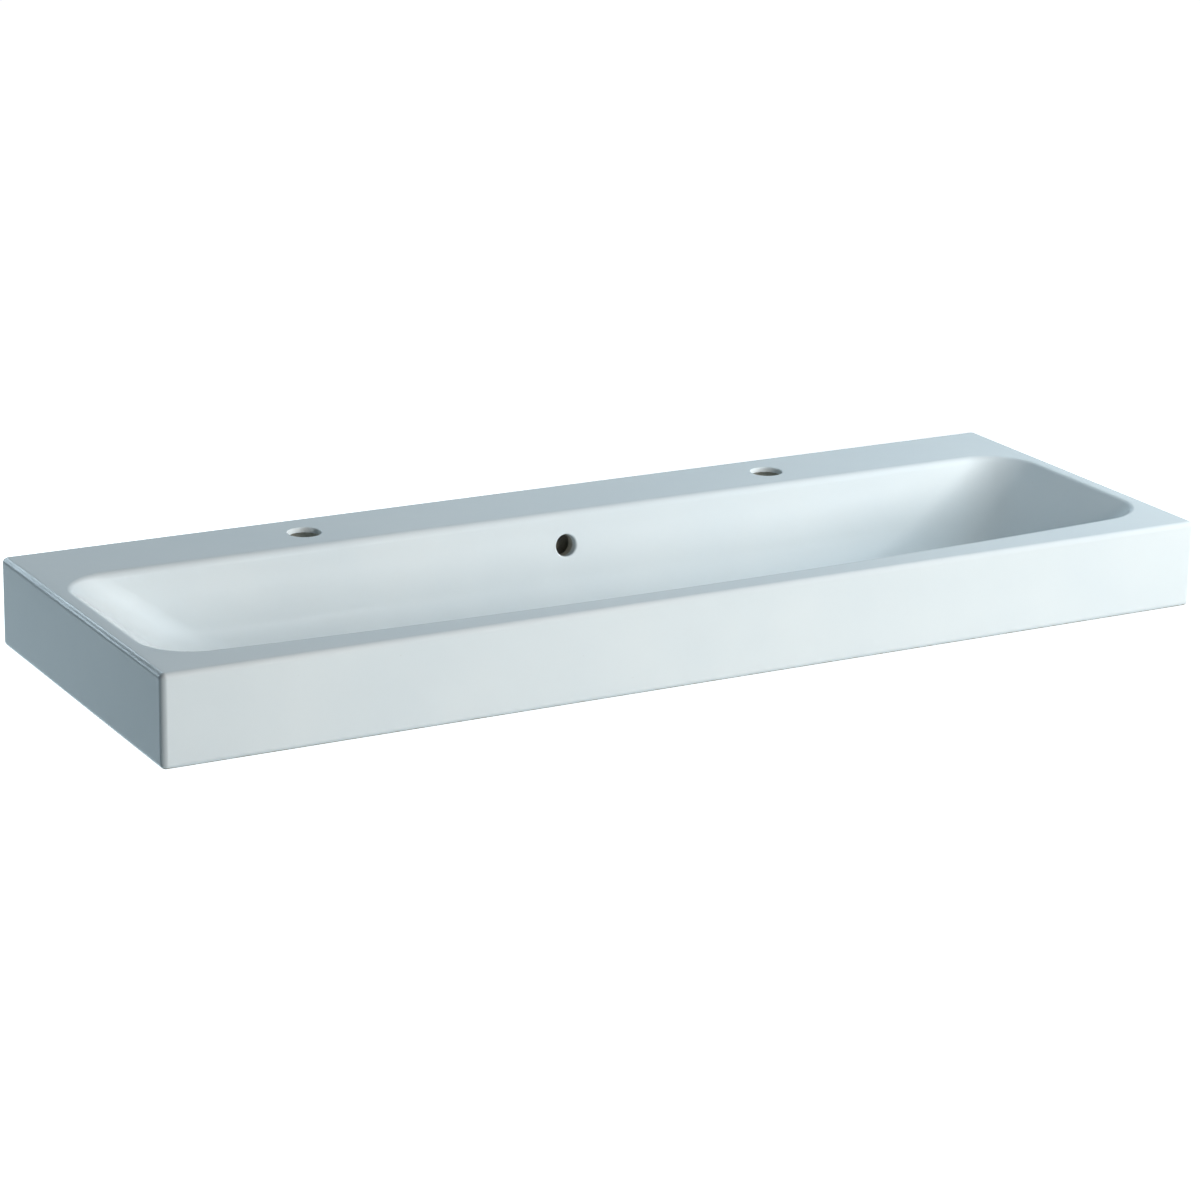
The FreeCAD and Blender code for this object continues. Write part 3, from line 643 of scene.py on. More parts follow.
def remap(tree, value, source, target=(0.0, 1.0)):
    """A value laid from one range onto another."""
    ends = dict(enumerate((*source, *target), start=1))
    return add_node(tree, "MapRange", {"Value": value, **ends}).outputs[0]


def mix_colours(tree, amount, first, second):
    return add_node(tree, "Mix", {0: amount, 6: first, 7: second}, data_type="RGBA").outputs[2]


def toned(tree, base, amount):
    """A colour times an amount."""
    return add_node(tree, "VectorMath", {0: base, "Scale": amount}, operation="SCALE").outputs[0]


def relief(tree, height, strength, metres, **under):
    """A bump of a real height."""
    inputs = {"Height": height, "Strength": strength, "Distance": metres, **under}
    return add_node(tree, "Bump", inputs).outputs[0]


def surfaced(material, inputs):
    """A material closed with its one shader."""
    tree = material.node_tree
    shader = add_node(tree, "BsdfPrincipled", inputs)
    add_node(tree, "OutputMaterial", {"Surface": shader.outputs[0]})
    return material


def bare_body(scene, tree, place):
    """Where the glaze is missing: at the back, along the foot and in the narrow space behind the bowl,
    whose grey is also painted shade.
    """
    ceramic = scene.hand_basin_ceramic
    x, y, z = add_node(tree, "SeparateXYZ", {"Vector": place}).outputs
    fade, wander = ceramic.glaze_fade, ceramic.glaze_wander
    ragged = remap(tree, noise(tree, place, size_mm=9, detail=3.0), (0.0, 1.0), (-wander, wander))
    ragged_y = calculate(tree, "ADD", y, ragged)
    ragged_z = calculate(tree, "ADD", z, ragged)
    at_back = remap(tree, ragged_y, (-ceramic.glaze_back - fade, -ceramic.glaze_back + fade))
    line = BODY_HIGH.z - ceramic.skirt_height + ceramic.glaze_foot
    near_foot = remap(tree, ragged_z, (line + fade, line - fade))
    skirt = ceramic.back_wall + ceramic.edge_round
    out = calculate(tree, "ABSOLUTE", x)
    at_end = calculate(tree, "GREATER_THAN", out, BODY_HIGH.x - skirt)
    at_front = calculate(tree, "LESS_THAN", y, BODY_LOW.y + skirt)
    at_rear = calculate(tree, "GREATER_THAN", y, BODY_HIGH.y - skirt)
    on_skirt = calculate(tree, "MAXIMUM", at_end, calculate(tree, "MAXIMUM", at_front, at_rear))
    at_foot = calculate(tree, "MULTIPLY", near_foot, on_skirt)
    # Painted shade: the space behind the bowl, which the tap holes show, is left unglazed grey to darken
    # it.
    lean = math.tan(ceramic.long_slope)
    mid_wall = BODY_HIGH.y - ceramic.ledge + ceramic.bowl_wall / 2 - BODY_HIGH.z * lean
    from_wall = calculate(tree, "MULTIPLY_ADD", z, -lean, ragged_y)
    past_bowl = remap(tree, from_wall, (mid_wall, mid_wall + ceramic.bowl_wall / 3))
    below = calculate(tree, "LESS_THAN", ragged_z, BODY_HIGH.z - scene.hand_basin_holes.tap_lip)
    within = calculate(tree, "LESS_THAN", out, BODY_HIGH.x - ceramic.skirt_wall / 2)
    cavity_shade = calculate(tree, "MULTIPLY", calculate(tree, "MULTIPLY", past_bowl, below), within)
    return calculate(tree, "MAXIMUM", calculate(tree, "MAXIMUM", at_back, at_foot), cavity_shade)


def glazed_vitreous_china(scene):
    # Slip-cast vitreous china under a fired white glaze. The glaze is glossy and very slightly wavy, and
    # a little bluer where it is thick. It stops short of the back, the foot and the narrow space behind
    # the bowl, where the fired body shows grey and matt; behind the bowl that grey is also painted shade.
    colours = scene.hand_basin_colours
    material, tree, place = new_material("glazed_vitreous_china")
    thick = remap(tree, noise(tree, place, size_mm=140, detail=2.0), (0.35, 0.65))
    glaze = mix_colours(tree, thick, rgba(colours.glaze), rgba(colours.glaze_pool))
    specks = add_node(tree, "TexVoronoi", {"Vector": place, "Scale": per_metre(38)})
    pin = remap(tree, specks.outputs["Distance"], (0.012, 0.02), (0.25, 0.0))
    flecked = mix_colours(tree, pin, glaze, rgba(colours.bisque))
    bare_and_shaded = bare_body(scene, tree, place)
    grain = noise(tree, place, size_mm=1.6, detail=4.0)
    fired_body_and_shade = toned(tree, colours.bisque, remap(tree, grain, (0.3, 0.7), (0.82, 1.0)))
    # Painted shade: the grey fired body also fills the space behind the bowl, which the tap holes show.
    shown = mix_colours(tree, bare_and_shaded, flecked, fired_body_and_shade)
    sheen = remap(tree, noise(tree, place, size_mm=70, detail=4.0), (0.3, 0.7), (0.15, 0.22))
    rough = add_node(tree, "Mix", {0: bare_and_shaded, 2: sheen, 3: 0.75}).outputs[0]
    wavy = relief(tree, noise(tree, place, size_mm=45, detail=1.0), strength=0.10, metres=0.0012)
    bare_and_shaded_grain = calculate(tree, "MULTIPLY", grain, bare_and_shaded)
    uneven = relief(tree, bare_and_shaded_grain, strength=0.35, metres=0.0003, Normal=wavy)
    return surfaced(material, {"Base Color": shown, "Roughness": rough, "Normal": uneven, "IOR": 1.52})


def polished_chrome_plate(scene):
    # Bright chrome over polished brass: a clear mirror, with the faint haze and fine round rubbing marks
    # that wiping leaves.
    material, tree, place = new_material("polished_chrome_plate")
    haze = noise(tree, place, size_mm=9, detail=4.0)
    metal = toned(tree, scene.hand_basin_colours.chrome, remap(tree, haze, (0.3, 0.8), (1.0, 0.94)))
    rough = remap(tree, haze, (0.3, 0.75), (0.05, 0.14))
    marks = relief(tree, noise(tree, place, size_mm=1.2, detail=2.0), strength=0.03, metres=0.0001)
    return surfaced(material, {"Base Color": metal, "Metallic": 1.0, "Roughness": rough, "Normal": marks})


def turned_metal(name, base, dull, line_mm, spread):
    """A metal worked by a tool: its colour clouds a little, and fine lines run over it."""
    material, tree, place = new_material(name)
    cloud = noise(tree, place, size_mm=12, detail=5.0)
    metal = toned(tree, base, remap(tree, cloud, (0.3, 0.75), (1.0, 1.0 - spread)))
    rough = remap(tree, cloud, (0.3, 0.75), (dull, dull + 0.15))
    lines = noise(tree, place, line_mm, detail=2.0, distortion=0.3)
    marks = relief(tree, lines, strength=0.12, metres=0.0002)
    return surfaced(material, {"Base Color": metal, "Metallic": 1.0, "Roughness": rough, "Normal": marks})


def machined_brass(scene):
    # Brass cut on a lathe and left bare: warm, satin, slightly tarnished in clouds.
    base = scene.hand_basin_colours.brass
    return turned_metal("machined_brass", base, dull=0.26, line_mm=1.0, spread=0.22)


def drawn_stainless_steel(scene):
    # Drawn and turned stainless steel: a cool grey satin with fine tool lines.
    base = scene.hand_basin_colours.stainless
    return turned_metal("drawn_stainless_steel", base, dull=0.22, line_mm=0.8, spread=0.1)


def bright_zinc_plate(scene):
    # Steel with a bright zinc plate: bluish, half dull, cloudy where the passivation is uneven.
    base = scene.hand_basin_colours.zinc
    return turned_metal("bright_zinc_plate", base, dull=0.28, line_mm=1.4, spread=0.18)


def moulded_polymer(name, base, dull, grain_mm, spread):
    """A moulded plastic or rubber: an even colour that clouds slightly, and the mould's fine grain."""
    material, tree, place = new_material(name)
    cloud = noise(tree, place, size_mm=15, detail=3.0)
    tone = toned(tree, base, remap(tree, cloud, (0.3, 0.7), (1.0 - spread, 1.0)))
    rough = remap(tree, cloud, (0.3, 0.7), (dull, dull + 0.12))
    grain = relief(tree, noise(tree, place, grain_mm, detail=3.0), strength=0.2, metres=0.0002)
    return surfaced(material, {"Base Color": tone, "Roughness": rough, "Normal": grain, "IOR": 1.5})


def moulded_rubber(scene):
    # Compression-moulded rubber: near black, soft sheen, a faint bloom in patches.
    base = scene.hand_basin_colours.rubber
    return moulded_polymer("moulded_rubber", base, dull=0.55, grain_mm=0.9, spread=0.3)


def natural_nylon(scene):
    # Injection-moulded natural nylon: milky off-white, waxy and half matt.
    base = scene.hand_basin_colours.nylon
    return moulded_polymer("natural_nylon", base, dull=0.38, grain_mm=1.1, spread=0.08)


def moulded_acetal(scene):
    # Injection-moulded grey acetal: smooth, slightly slippery looking.
    base = scene.hand_basin_colours.acetal
    return moulded_polymer("moulded_acetal", base, dull=0.3, grain_mm=1.3, spread=0.12)


FINISHES = {
    "glazed_ceramic": glazed_vitreous_china,
    "chromed_brass": polished_chrome_plate,
    "raw_brass": machined_brass,
    "black_rubber": moulded_rubber,
    "white_plastic": natural_nylon,
    "grey_plastic": moulded_acetal,
    "stainless_steel": drawn_stainless_steel,
    "zinc_plated_steel": bright_zinc_plate,
}


def finish(scene, slot):
    """The material of a slot, made the first time that it is asked for."""
    maker = FINISHES[slot]
    return bpy.data.materials.get(maker.__name__) or maker(scene)


# Pieces of the ceramic

def chamber_heights(ceramic, holes):
    """Foot and top of the ring chamber round the waste hole."""
    top = BODY_HIGH.z - ceramic.bowl_depth - ceramic.floor_fall - ceramic.bowl_wall
    return top - holes.chamber_height, top


def pulled_section(section, half):
    """A closed section of y and z, pulled from one side of the middle to the other."""
    tool = bmesh.new()
    draw_line(tool, [(-half, y, z) for y, z in section + section[:1]])
    bmesh.ops.remove_doubles(tool, verts=tool.verts, dist=WELD)
    side = bmesh.ops.edgeloop_fill(tool, edges=tool.edges)["faces"]
    made = bmesh.ops.extrude_face_region(tool, geom=side)
    bmesh.ops.translate(tool, verts=verts_of(made), vec=(2 * half, 0, 0))
    bmesh.ops.recalc_face_normals(tool, faces=tool.faces)
    return tool


def duct_casing(bm, ceramic, holes):
    """The casing of the overflow duct: down behind the bowl and forward under it to the boss."""
    back = BODY_HIGH.y - ceramic.ledge + ceramic.bowl_wall + holes.duct_gap + holes.duct_wall
    in_wall = ceramic.bowl_wall / 2
    section = [(back, BODY_HIGH.z - ceramic.ledge_wall / 2)]
    for depth in [ceramic.ledge_wall / 2] + blend_depths(ceramic, in_wall)[::2]:
        inset, _ = wall_inset(ceramic, depth, ceramic.long_slope, ceramic.floor_blend, in_wall)
        section.append((BODY_HIGH.y - ceramic.ledge - inset, BODY_HIGH.z - depth))
    waste_y = -ceramic.waste_from_wall
    section += [(waste_y, section[-1][1] - ceramic.floor_fall), (waste_y, BODY_LOW.z), (back, BODY_LOW.z)]
    casing = pulled_section(section, holes.duct_width / 2 + holes.duct_wall)
    outside = []
    for edge in casing.edges:
        behind = [vert.co.y > back - NEAR for vert in edge.verts]
        below = [vert.co.z < BODY_LOW.z + NEAR for vert in edge.verts]
        if all(behind) or any(behind) and all(below):
            outside.append(edge)
    bmesh.ops.bevel(
        casing, geom=outside, offset=holes.duct_round, segments=ROUND_STEPS, profile=0.5, affect="EDGES",
        material=-1, clamp_overlap=True,
    )
    bmesh.ops.triangulate(casing, faces=casing.faces)
    absorb(bm, casing)


def fixing_pads(bm, ceramic, holes, metal):
    """Raised pads on the inside of the back wall, one round each fixing hole."""
    for x in stud_places(metal):
        start = Vector((x, BODY_HIGH.y - ceramic.back_wall / 2, 0))
        stop = Vector((x, BODY_HIGH.y - ceramic.back_wall - holes.pad, 0))
        add_rod(bm, holes.pad_radius, start, stop)


def stud_places(metal):
    """Places of the four studs along the wall."""
    return [side * spacing / 2 for spacing in (metal.inner_studs, metal.outer_studs) for side in (-1, 1)]


def flared_hole(bm, radius, flare, length, place):
    """A tool for a hole that goes down from the origin of its place, with a rounded mouth."""
    past = length / 2
    profile = [(0, past), (radius + flare, past)]
    for turn in QUARTER:
        down = flare * (1 - math.cos(turn)) - MOUTH_LIFT
        profile.append((radius + flare * (1 - math.sin(turn)), -down))
    profile += [(radius, -length), (0, -length)]
    tool = bmesh.new()
    turn_profile(tool, profile, ORIGIN)
    bmesh.ops.transform(tool, matrix=place, verts=tool.verts)
    absorb(bm, tool)


def tap_and_fixing_holes(bm, ceramic, holes, metal):
    """Tools for the two tap holes in the ledge and the four fixing holes in the back wall."""
    for side in (-1, 1):
        place = Matrix.Translation((side * holes.tap_x, -holes.tap_from_wall, BODY_HIGH.z))
        flared_hole(bm, holes.tap_radius, holes.tap_round, 2 * ceramic.ledge_wall, place)
    for x in stud_places(metal):
        start = Vector((x, BODY_HIGH.y - ceramic.back_wall - 2 * holes.pad, 0))
        add_rod(bm, holes.fixing_radius, start, Vector((x, BODY_HIGH.y + holes.pad, 0)))


def tap_recesses(bm, ceramic, holes):
    """Tools for the recesses that thin the ledge round the tap holes, from below."""
    for side in (-1, 1):
        top = Vector((side * holes.tap_x, -holes.tap_from_wall, BODY_HIGH.z - holes.tap_lip))
        add_rod(bm, holes.tap_recess, top, top - Vector((0, 0, ceramic.ledge_wall)))


def overflow_mouth(bm, ceramic, holes):
    """A tool for the round mouth in the bowl's back wall, as far as the middle of the duct."""
    mouth_y = BODY_HIGH.y - ceramic.ledge - holes.overflow_drop * math.tan(ceramic.long_slope)
    middle = BODY_HIGH.y - ceramic.ledge + ceramic.bowl_wall + holes.duct_gap / 2
    place = Matrix.Translation((0, mouth_y, BODY_HIGH.z - holes.overflow_drop))
    place = place @ Matrix.Rotation(math.pi / 2 - ceramic.long_slope, 4, "X")
    reach = (middle - mouth_y) / math.cos(ceramic.long_slope)
    flared_hole(bm, holes.overflow_radius, holes.overflow_round, reach, place)


def duct_space(bm, ceramic, holes):
    """The open way inside the casing: down from above the mouth, and forward to the waste hole."""
    front = BODY_HIGH.y - ceramic.ledge + ceramic.bowl_wall
    back = front + holes.duct_gap
    waste_y = -ceramic.waste_from_wall
    crest = BODY_HIGH.z - holes.overflow_drop + holes.overflow_radius + holes.duct_headroom
    foot, top = chamber_heights(ceramic, holes)
    section = [(back, crest), (back, foot), (waste_y, foot), (waste_y, top), (front, top), (front, crest)]
    absorb(bm, pulled_section(section, holes.duct_width / 2))


def ring_chamber(bm, ceramic, holes):
    """The ring round the waste hole where the duct ends."""
    foot, top = chamber_heights(ceramic, holes)
    radius = holes.chamber_radius
    centre = Vector((0, -ceramic.waste_from_wall, 0))
    tool = bmesh.new()
    turn_profile(tool, [(0, foot), (radius, foot), (radius, top), (0, top)], centre)
    absorb(bm, tool)


# Pieces of the plug, the waste and the wall studs, drawn about the upright axis through the origin

def cap_profile(metal):
    """Half section of the plug's cap: the hollow below, a rounded lip and the dome."""
    radius, foot, lip = CAP_HIGH.x, CAP_LOW.z, metal.cap_lip
    hollow = foot + metal.cap_hollow
    profile = [
        (0, hollow),
        (radius * metal.cap_hollow_reach, hollow),
        (radius * metal.cap_hollow_mouth, foot),
    ]
    for turn in QUARTER:
        profile.append((radius - lip * (1 - math.sin(turn)), foot + lip * (1 - math.cos(turn))))
    crown = CAP_HIGH.z - foot - metal.cap_edge
    dome = (radius**2 + crown**2) / (2 * crown)
    reach = math.asin(radius / dome)
    for step in range(2 * ROUND_STEPS + 1):
        turn = reach * (1 - step / (2 * ROUND_STEPS))
        profile.append((dome * math.sin(turn), CAP_HIGH.z - dome * (1 - math.cos(turn))))
    return profile


def tail_levels(metal):
    """Root radius of the waste's thread, foot and top of its neck, and foot of the plain tube above it."""
    root = metal.tail_radius - THREAD_DEPTH * metal.tail_pitch
    neck_foot = TAIL_LOW.z + metal.neck_from_foot
    plain_foot = TAIL_HIGH.z - metal.flange - metal.tail_plain
    return root, neck_foot, neck_foot + metal.neck, plain_foot


def waste_profile(metal):
    """Half section of the waste: flange with its seat, plain tube, thread's core and neck."""
    top, foot = TAIL_HIGH.z, TAIL_LOW.z
    flange_foot = top - metal.flange
    root, neck_foot, neck_top, plain_foot = tail_levels(metal)
    neck_radius = root - metal.slot_edge / 2
    return [
        (metal.seat_radius, top),
        (TAIL_HIGH.x - metal.flange_bevel, top),
        (TAIL_HIGH.x, top - metal.flange_bevel),
        (TAIL_HIGH.x, flange_foot),
        (metal.tail_radius, flange_foot),
        (metal.tail_radius, plain_foot),
        (root, plain_foot - metal.tail_radius + root),
        (root, neck_top),
        (neck_radius, neck_top),
        (neck_radius, neck_foot),
        (root, neck_foot),
        (root, foot + metal.slot_edge),
        (root - metal.slot_edge, foot),
        (metal.tail_bore, foot),
        (metal.tail_bore, top - metal.seat_radius + metal.tail_bore),
    ]


def nut_thread(bm, root, crest, pitch, start, stop):
    """A nut's thread that runs out over one pitch at both ends."""
    envelope = [(start, root), (start + pitch, crest), (stop - pitch, crest), (stop, root)]
    thread_ridge(bm, root, crest, pitch, NUT_RIDGE, start, stop, envelope)


def waste_threads(bm, metal):
    """The pipe thread on both sides of the neck."""
    root, neck_foot, neck_top, plain_foot = tail_levels(metal)
    for start, stop in ((TAIL_LOW.z, neck_foot), (neck_top, plain_foot)):
        nut_thread(bm, root, metal.tail_radius, metal.tail_pitch, start, stop)


def waste_slots(ceramic, holes, metal):
    """Tools for the overflow slots, level with the ring chamber."""
    foot, top = chamber_heights(ceramic, holes)
    low, high = foot + metal.slot_edge, top - metal.slot_edge
    half = metal.slot_width / 2
    bm = bmesh.new()
    for step in range(SLOTS):
        verts = box_verts(bm, (metal.spider_boss, -half, low), (TAIL_HIGH.x, half, high))
        turn = Matrix.Rotation(2 * math.pi * (step + 0.5) / SLOTS, 4, "Z")
        bmesh.ops.transform(bm, matrix=turn, verts=verts)
    return bm


def waste_spider(bm, metal):
    """The arms and the boss inside the tube, which carry the push barrel."""
    high = TAIL_HIGH.z - metal.spider_drop
    low = high - metal.spider_height
    half = metal.spider_arm / 2
    inner, outer = metal.spider_bore, metal.spider_boss
    reach = (metal.tail_bore + metal.tail_radius) / 2
    for step in range(SPIDER_ARMS):
        verts = box_verts(bm, ((inner + outer) / 2, -half, low), (reach, half, high))
        turn = Matrix.Rotation(2 * math.pi * step / SPIDER_ARMS, 4, "Z")
        bmesh.ops.transform(bm, matrix=turn, verts=verts)
    turn_loop(bm, [(inner, low), (outer, low), (outer, high), (inner, high)])


def wall_stud(bm, metal):
    """One stud, with its height measured out of the wall towards the basin."""
    crest = -STUD_LOW.z
    tip, end = -STUD_HIGH.y, -STUD_LOW.y
    root, nut_root = metal.screw_root, crest - THREAD_DEPTH * metal.stud_pitch
    shank_start, shank_stop = -metal.shank_stop, -metal.shank_start
    cone = (crest - metal.tip_radius) / metal.screw_tip
    profile = [
        (0, tip),
        (metal.tip_radius, tip),
        (root, tip + (root - metal.tip_radius) / cone),
        (root, shank_start - crest + root),
        (metal.shank_radius, shank_start),
        (metal.shank_radius, shank_stop),
        (nut_root, shank_stop + metal.shank_radius - nut_root),
        (nut_root, end - metal.shank_radius + nut_root),
        (nut_root - metal.stud_pitch / 2, end),
        (0, end),
    ]
    turn_profile(bm, profile, ORIGIN)
    envelope = [
        (tip, metal.tip_radius),
        (tip + metal.screw_tip, crest),
        (shank_start - metal.screw_pitch, crest),
        (shank_start, root),
    ]
    start = tip + metal.screw_tip / 4
    thread_ridge(bm, root, crest, metal.screw_pitch, SCREW_RIDGE, start, shank_start, envelope)
    nut_thread(bm, nut_root, crest, metal.stud_pitch, shank_stop, end)


# Studio

# Sizes, places and manners of the softboxes, whose powers are among the studio's properties
SOFTBOXES = {
    "front_light": {"size": (1.4, 1.4), "place": (1.0, -3.9, 1.1)},
    "right_light": {"size": (1.4, 1.4), "place": (3.5, -1.8, 1.1)},
    "over_light": {"size": (0.7, 0.7), "place": (1.15, -0.5, 1.0), "tint": "surroundings"},
    "edge_light": {
        "size": (3.0, 0.4), "place": (-1.2, 2.7, 1.1), "tint": "surroundings", "roll": math.radians(-33),
        "mirrored": True,
    },
    "back_light": {"size": (2.4, 0.8), "place": (0.0, 3.2, -0.2)},
}

# Width of the picture behind the lens, in millimetres
SENSOR_WIDTH = 36.0


def studio_glow(tree, kind, shown, cool, fill):
    """What the camera sees, a cool white for mirrors to show, and the fill that lights things."""
    rays = add_node(tree, "LightPath", {}).outputs
    mirrored = calculate(tree, "MAXIMUM", rays["Is Glossy Ray"], rays["Is Transmission Ray"])
    level = remap(tree, mirrored, (0.0, 1.0), (fill, 1.0))
    around = add_node(tree, kind, {"Color": cool, "Strength": level}).outputs[0]
    white = add_node(tree, kind, {"Color": (1, 1, 1, 1), "Strength": shown}).outputs[0]
    return add_node(tree, "MixShader", {0: rays["Is Camera Ray"], 1: around, 2: white}).outputs[0]


def make_floor(scene, studio):
    """A pale floor that glows less under the basin, is white far off, and is clear from below."""
    material, tree, place = new_material("studio_floor")
    cool = rgba(scene.hand_basin_colours.surroundings)
    reach = add_node(tree, "VectorMath", {0: place}, operation="LENGTH").outputs["Value"]
    glow = remap(tree, reach, (studio.floor_drop, studio.glow_reach), (studio.floor_glow, 1.0))
    seen = studio_glow(tree, "Emission", glow, cool, 0.0)
    matt = add_node(tree, "BsdfDiffuse", {"Color": rgba(scene.hand_basin_colours.floor)}).outputs[0]
    lit = add_node(tree, "AddShader", {0: matt, 1: seen}).outputs[0]
    clear = add_node(tree, "BsdfTransparent", {}).outputs[0]
    below = add_node(tree, "NewGeometry", {}).outputs["Backfacing"]
    shown = add_node(tree, "MixShader", {0: below, 1: lit, 2: clear}).outputs[0]
    add_node(tree, "OutputMaterial", {"Surface": shown})
    bm = bmesh.new()
    level = Matrix.Translation((0, 0, BODY_HIGH.z - studio.floor_drop))
    bmesh.ops.create_grid(bm, x_segments=1, y_segments=1, size=studio.floor_half, matrix=level)
    floor = object_from("studio_floor", bm)
    floor.data.materials.append(material)


def make_surroundings(scene, studio):
    """White to look at, a cool white to mirror, and an even fill to light by."""
    world = bpy.data.worlds.new("studio")
    world.use_nodes = True
    tree = world.node_tree
    tree.nodes.clear()
    cool = rgba(scene.hand_basin_colours.surroundings)
    add_node(tree, "OutputWorld", {"Surface": studio_glow(tree, "Background", 1.0, cool, studio.fill)})
    scene.world = world


def make_light(scene, name, size, place, roll=0.0, mirrored=False, tint="daylight"):
    """A softbox aimed at the basin, which the glaze shows only where it is mirrored."""
    light = bpy.data.lights.new(name, "AREA")
    light.shape = "RECTANGLE"
    light.size, light.size_y = size
    light.energy = getattr(scene.hand_basin_studio, name)
    light.color = getattr(scene.hand_basin_colours, tint)
    lamp = bpy.data.objects.new(name, light)
    middle = (BODY_LOW + BODY_HIGH) / 2
    lamp.location = place
    aim = (middle - Vector(place)).to_track_quat("-Z", "Y").to_matrix()
    lamp.rotation_euler = (aim @ Matrix.Rotation(roll, 3, "Z")).to_euler()
    lamp.visible_glossy = mirrored
    scene.collection.objects.link(lamp)


def make_camera(scene, studio):
    """A camera that sees the basin as the photo does."""
    data = bpy.data.cameras.new("camera")
    data.sensor_width = SENSOR_WIDTH
    data.lens = studio.lens
    camera = bpy.data.objects.new("camera", data)
    yaw, pitch = studio.camera_yaw, studio.camera_pitch
    ahead = Vector((math.sin(yaw) * math.cos(pitch), math.cos(yaw) * math.cos(pitch), -math.sin(pitch)))
    level = ahead.to_track_quat("-Z", "Y").to_matrix()
    camera.rotation_euler = (level @ Matrix.Rotation(studio.camera_roll, 3, "Z")).to_euler()
    camera.location = studio.camera_place
    scene.collection.objects.link(camera)
    scene.camera = camera


# Operators

class HANDBASIN_OT_ceramic(bpy.types.Operator):
    """Make the glazed ceramic body with its bowl, holes and overflow duct"""

    bl_idname = "hand_basin.ceramic"
    bl_label = "Ceramic body"

    def execute(self, context):
        scene = context.scene
        ceramic, holes, metal = scene.hand_basin_ceramic, scene.hand_basin_holes, scene.hand_basin_metal
        bm = bmesh.new()
        skin(bm, ceramic_rings(ceramic))
        piece = object_from("glazed_body", bm)
        added = bmesh.new()
        duct_casing(added, ceramic, holes)
        fixing_pads(added, ceramic, holes, metal)
        carve(piece, added, "UNION")
        cut = bmesh.new()
        tap_and_fixing_holes(cut, ceramic, holes, metal)
        duct_space(cut, ceramic, holes)
        carve(piece, cut, "DIFFERENCE")
        mouth = bmesh.new()
        overflow_mouth(mouth, ceramic, holes)
        ring_chamber(mouth, ceramic, holes)
        tap_recesses(mouth, ceramic, holes)
        carve(piece, mouth, "DIFFERENCE")
        smooth_piece(piece, CERAMIC_SHARP)
        place_piece(scene, piece, "basin", "glazed_ceramic", "basin_body")
        return {"FINISHED"}


class HANDBASIN_OT_plug_cap(bpy.types.Operator):
    """Make the domed chromed cap of the plug"""

    bl_idname = "hand_basin.plug_cap"
    bl_label = "Plug cap"

    def execute(self, context):
        bm = bmesh.new()
        turn_profile(bm, cap_profile(context.scene.hand_basin_metal), WASTE_AXIS)
        piece = object_from("chromed_plug_cap", bm)
        smooth_piece(piece, CAP_SHARP)
        place_piece(context.scene, piece, "plug", "chromed_brass", "plug_cap")
        return {"FINISHED"}


class HANDBASIN_OT_waste(bpy.types.Operator):
    """Make the chromed waste with its flange, overflow slots, spider and pipe thread"""

    bl_idname = "hand_basin.waste"
    bl_label = "Waste"

    def execute(self, context):
        scene = context.scene
        ceramic, holes, metal = scene.hand_basin_ceramic, scene.hand_basin_holes, scene.hand_basin_metal
        bm = bmesh.new()
        turn_loop(bm, waste_profile(metal))
        piece = object_from("chromed_waste", bm)
        carve(piece, waste_slots(ceramic, holes, metal), "DIFFERENCE")
        bm = bmesh.new()
        bm.from_mesh(piece.data)
        waste_spider(bm, metal)
        waste_threads(bm, metal)
        bmesh.ops.translate(bm, verts=bm.verts, vec=WASTE_AXIS)
        bm.to_mesh(piece.data)
        bm.free()
        smooth_piece(piece, THREAD_SHARP)
        place_piece(scene, piece, "basin", "chromed_brass", "waste_body")
        return {"FINISHED"}


class HANDBASIN_OT_wall_studs(bpy.types.Operator):
    """Make the four plated studs, with a nut's thread at one end and a wood screw's thread in the wall"""

    bl_idname = "hand_basin.wall_studs"
    bl_label = "Wall studs"

    def execute(self, context):
        metal = context.scene.hand_basin_metal
        bm = bmesh.new()
        wall_stud(bm, metal)
        turned = Matrix.Rotation(math.pi / 2, 4, "X")
        bmesh.ops.transform(bm, matrix=turned, verts=bm.verts)
        first = list(bm.verts) + list(bm.edges) + list(bm.faces)
        places = stud_places(metal)
        for x in places[1:]:
            made = bmesh.ops.duplicate(bm, geom=first)
            bmesh.ops.translate(bm, verts=verts_of(made), vec=(x - places[0], 0, 0))
        bmesh.ops.translate(bm, verts=bm.verts, vec=(places[0], 0, 0))
        piece = object_from("plated_wall_studs", bm)
        smooth_piece(piece, THREAD_SHARP)
        place_piece(context.scene, piece, "basin", "zinc_plated_steel", "wall_studs")
        return {"FINISHED"}


class HANDBASIN_OT_finishes(bpy.types.Operator):
    """Give the small solids that keep their shape their materials"""

    bl_idname = "hand_basin.finishes"
    bl_label = "Finishes of the small solids"

    def execute(self, context):
        for part in frame["record"]["subparts"]:
            node = frame["nodes"][part["node"]]
            if node.hide_render:
                continue
            for slot in node.material_slots:
                slot.material = finish(context.scene, part["material_slot"])
        return {"FINISHED"}


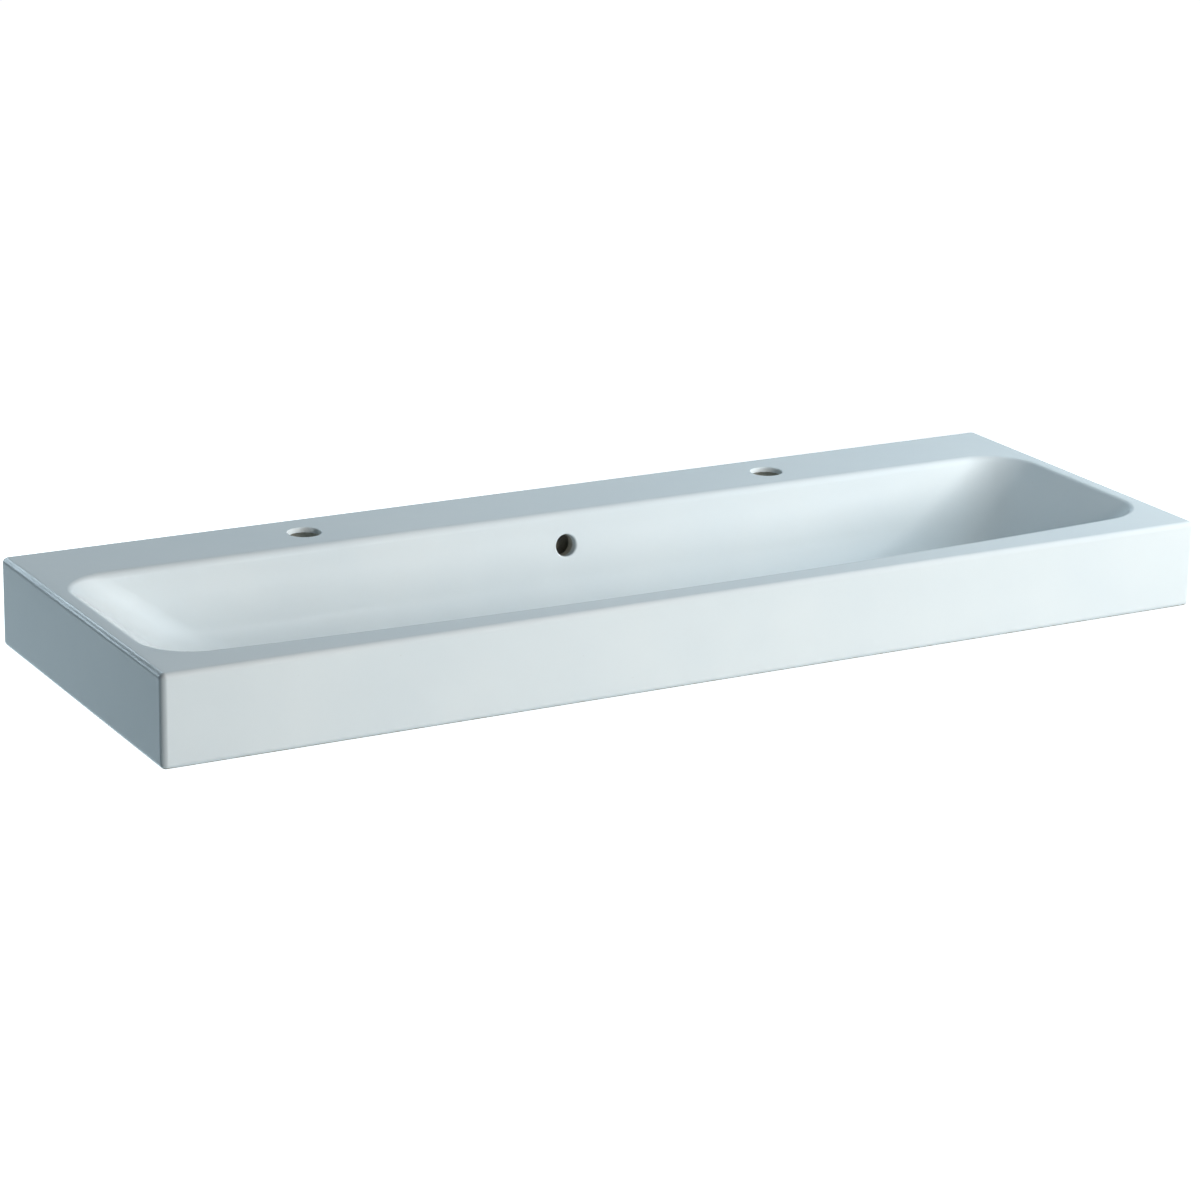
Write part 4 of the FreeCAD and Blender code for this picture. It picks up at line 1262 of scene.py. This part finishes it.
class HANDBASIN_OT_stage(bpy.types.Operator):
    """Set up the floor, the white surroundings, the lights and the camera"""

    bl_idname = "hand_basin.stage"
    bl_label = "Studio"

    def execute(self, context):
        scene = context.scene
        studio = scene.hand_basin_studio
        scene.view_settings.view_transform = "Standard"
        make_floor(scene, studio)
        make_surroundings(scene, studio)
        for name, settings in SOFTBOXES.items():
            make_light(scene, name, **settings)
        make_camera(scene, studio)
        return {"FINISHED"}


class HANDBASIN_PT_panel(bpy.types.Panel):
    """Steps that dress the hand basin, and the sizes and colours that they use"""

    bl_idname = "HANDBASIN_PT_panel"
    bl_label = "Hand basin"
    bl_space_type = "VIEW_3D"
    bl_region_type = "UI"
    bl_category = "Hand basin"

    def draw(self, context):
        for operator in OPERATORS:
            self.layout.operator(operator.bl_idname)
        for name, group in GROUPS.items():
            box = self.layout.box()
            box.label(text=group.__doc__)
            for key in group.__annotations__:
                box.prop(getattr(context.scene, name), key)


GROUPS = {
    "hand_basin_ceramic": HandBasinCeramic,
    "hand_basin_holes": HandBasinHoles,
    "hand_basin_metal": HandBasinMetal,
    "hand_basin_colours": HandBasinColours,
    "hand_basin_studio": HandBasinStudio,
}
OPERATORS = [
    HANDBASIN_OT_ceramic,
    HANDBASIN_OT_plug_cap,
    HANDBASIN_OT_waste,
    HANDBASIN_OT_wall_studs,
    HANDBASIN_OT_finishes,
    HANDBASIN_OT_stage,
]


def register():
    for name, group in GROUPS.items():
        bpy.utils.register_class(group)
        setattr(bpy.types.Scene, name, bpy.props.PointerProperty(type=group))
    for made in OPERATORS + [HANDBASIN_PT_panel]:
        bpy.utils.register_class(made)


def unregister():
    for made in reversed(OPERATORS + [HANDBASIN_PT_panel]):
        bpy.utils.unregister_class(made)
    for name, group in GROUPS.items():
        delattr(bpy.types.Scene, name)
        bpy.utils.unregister_class(group)


def main():
    register()
    for operator in OPERATORS:
        group, name = operator.bl_idname.split(".")
        getattr(getattr(bpy.ops, group), name)()


if __name__ == "__main__":
    main()
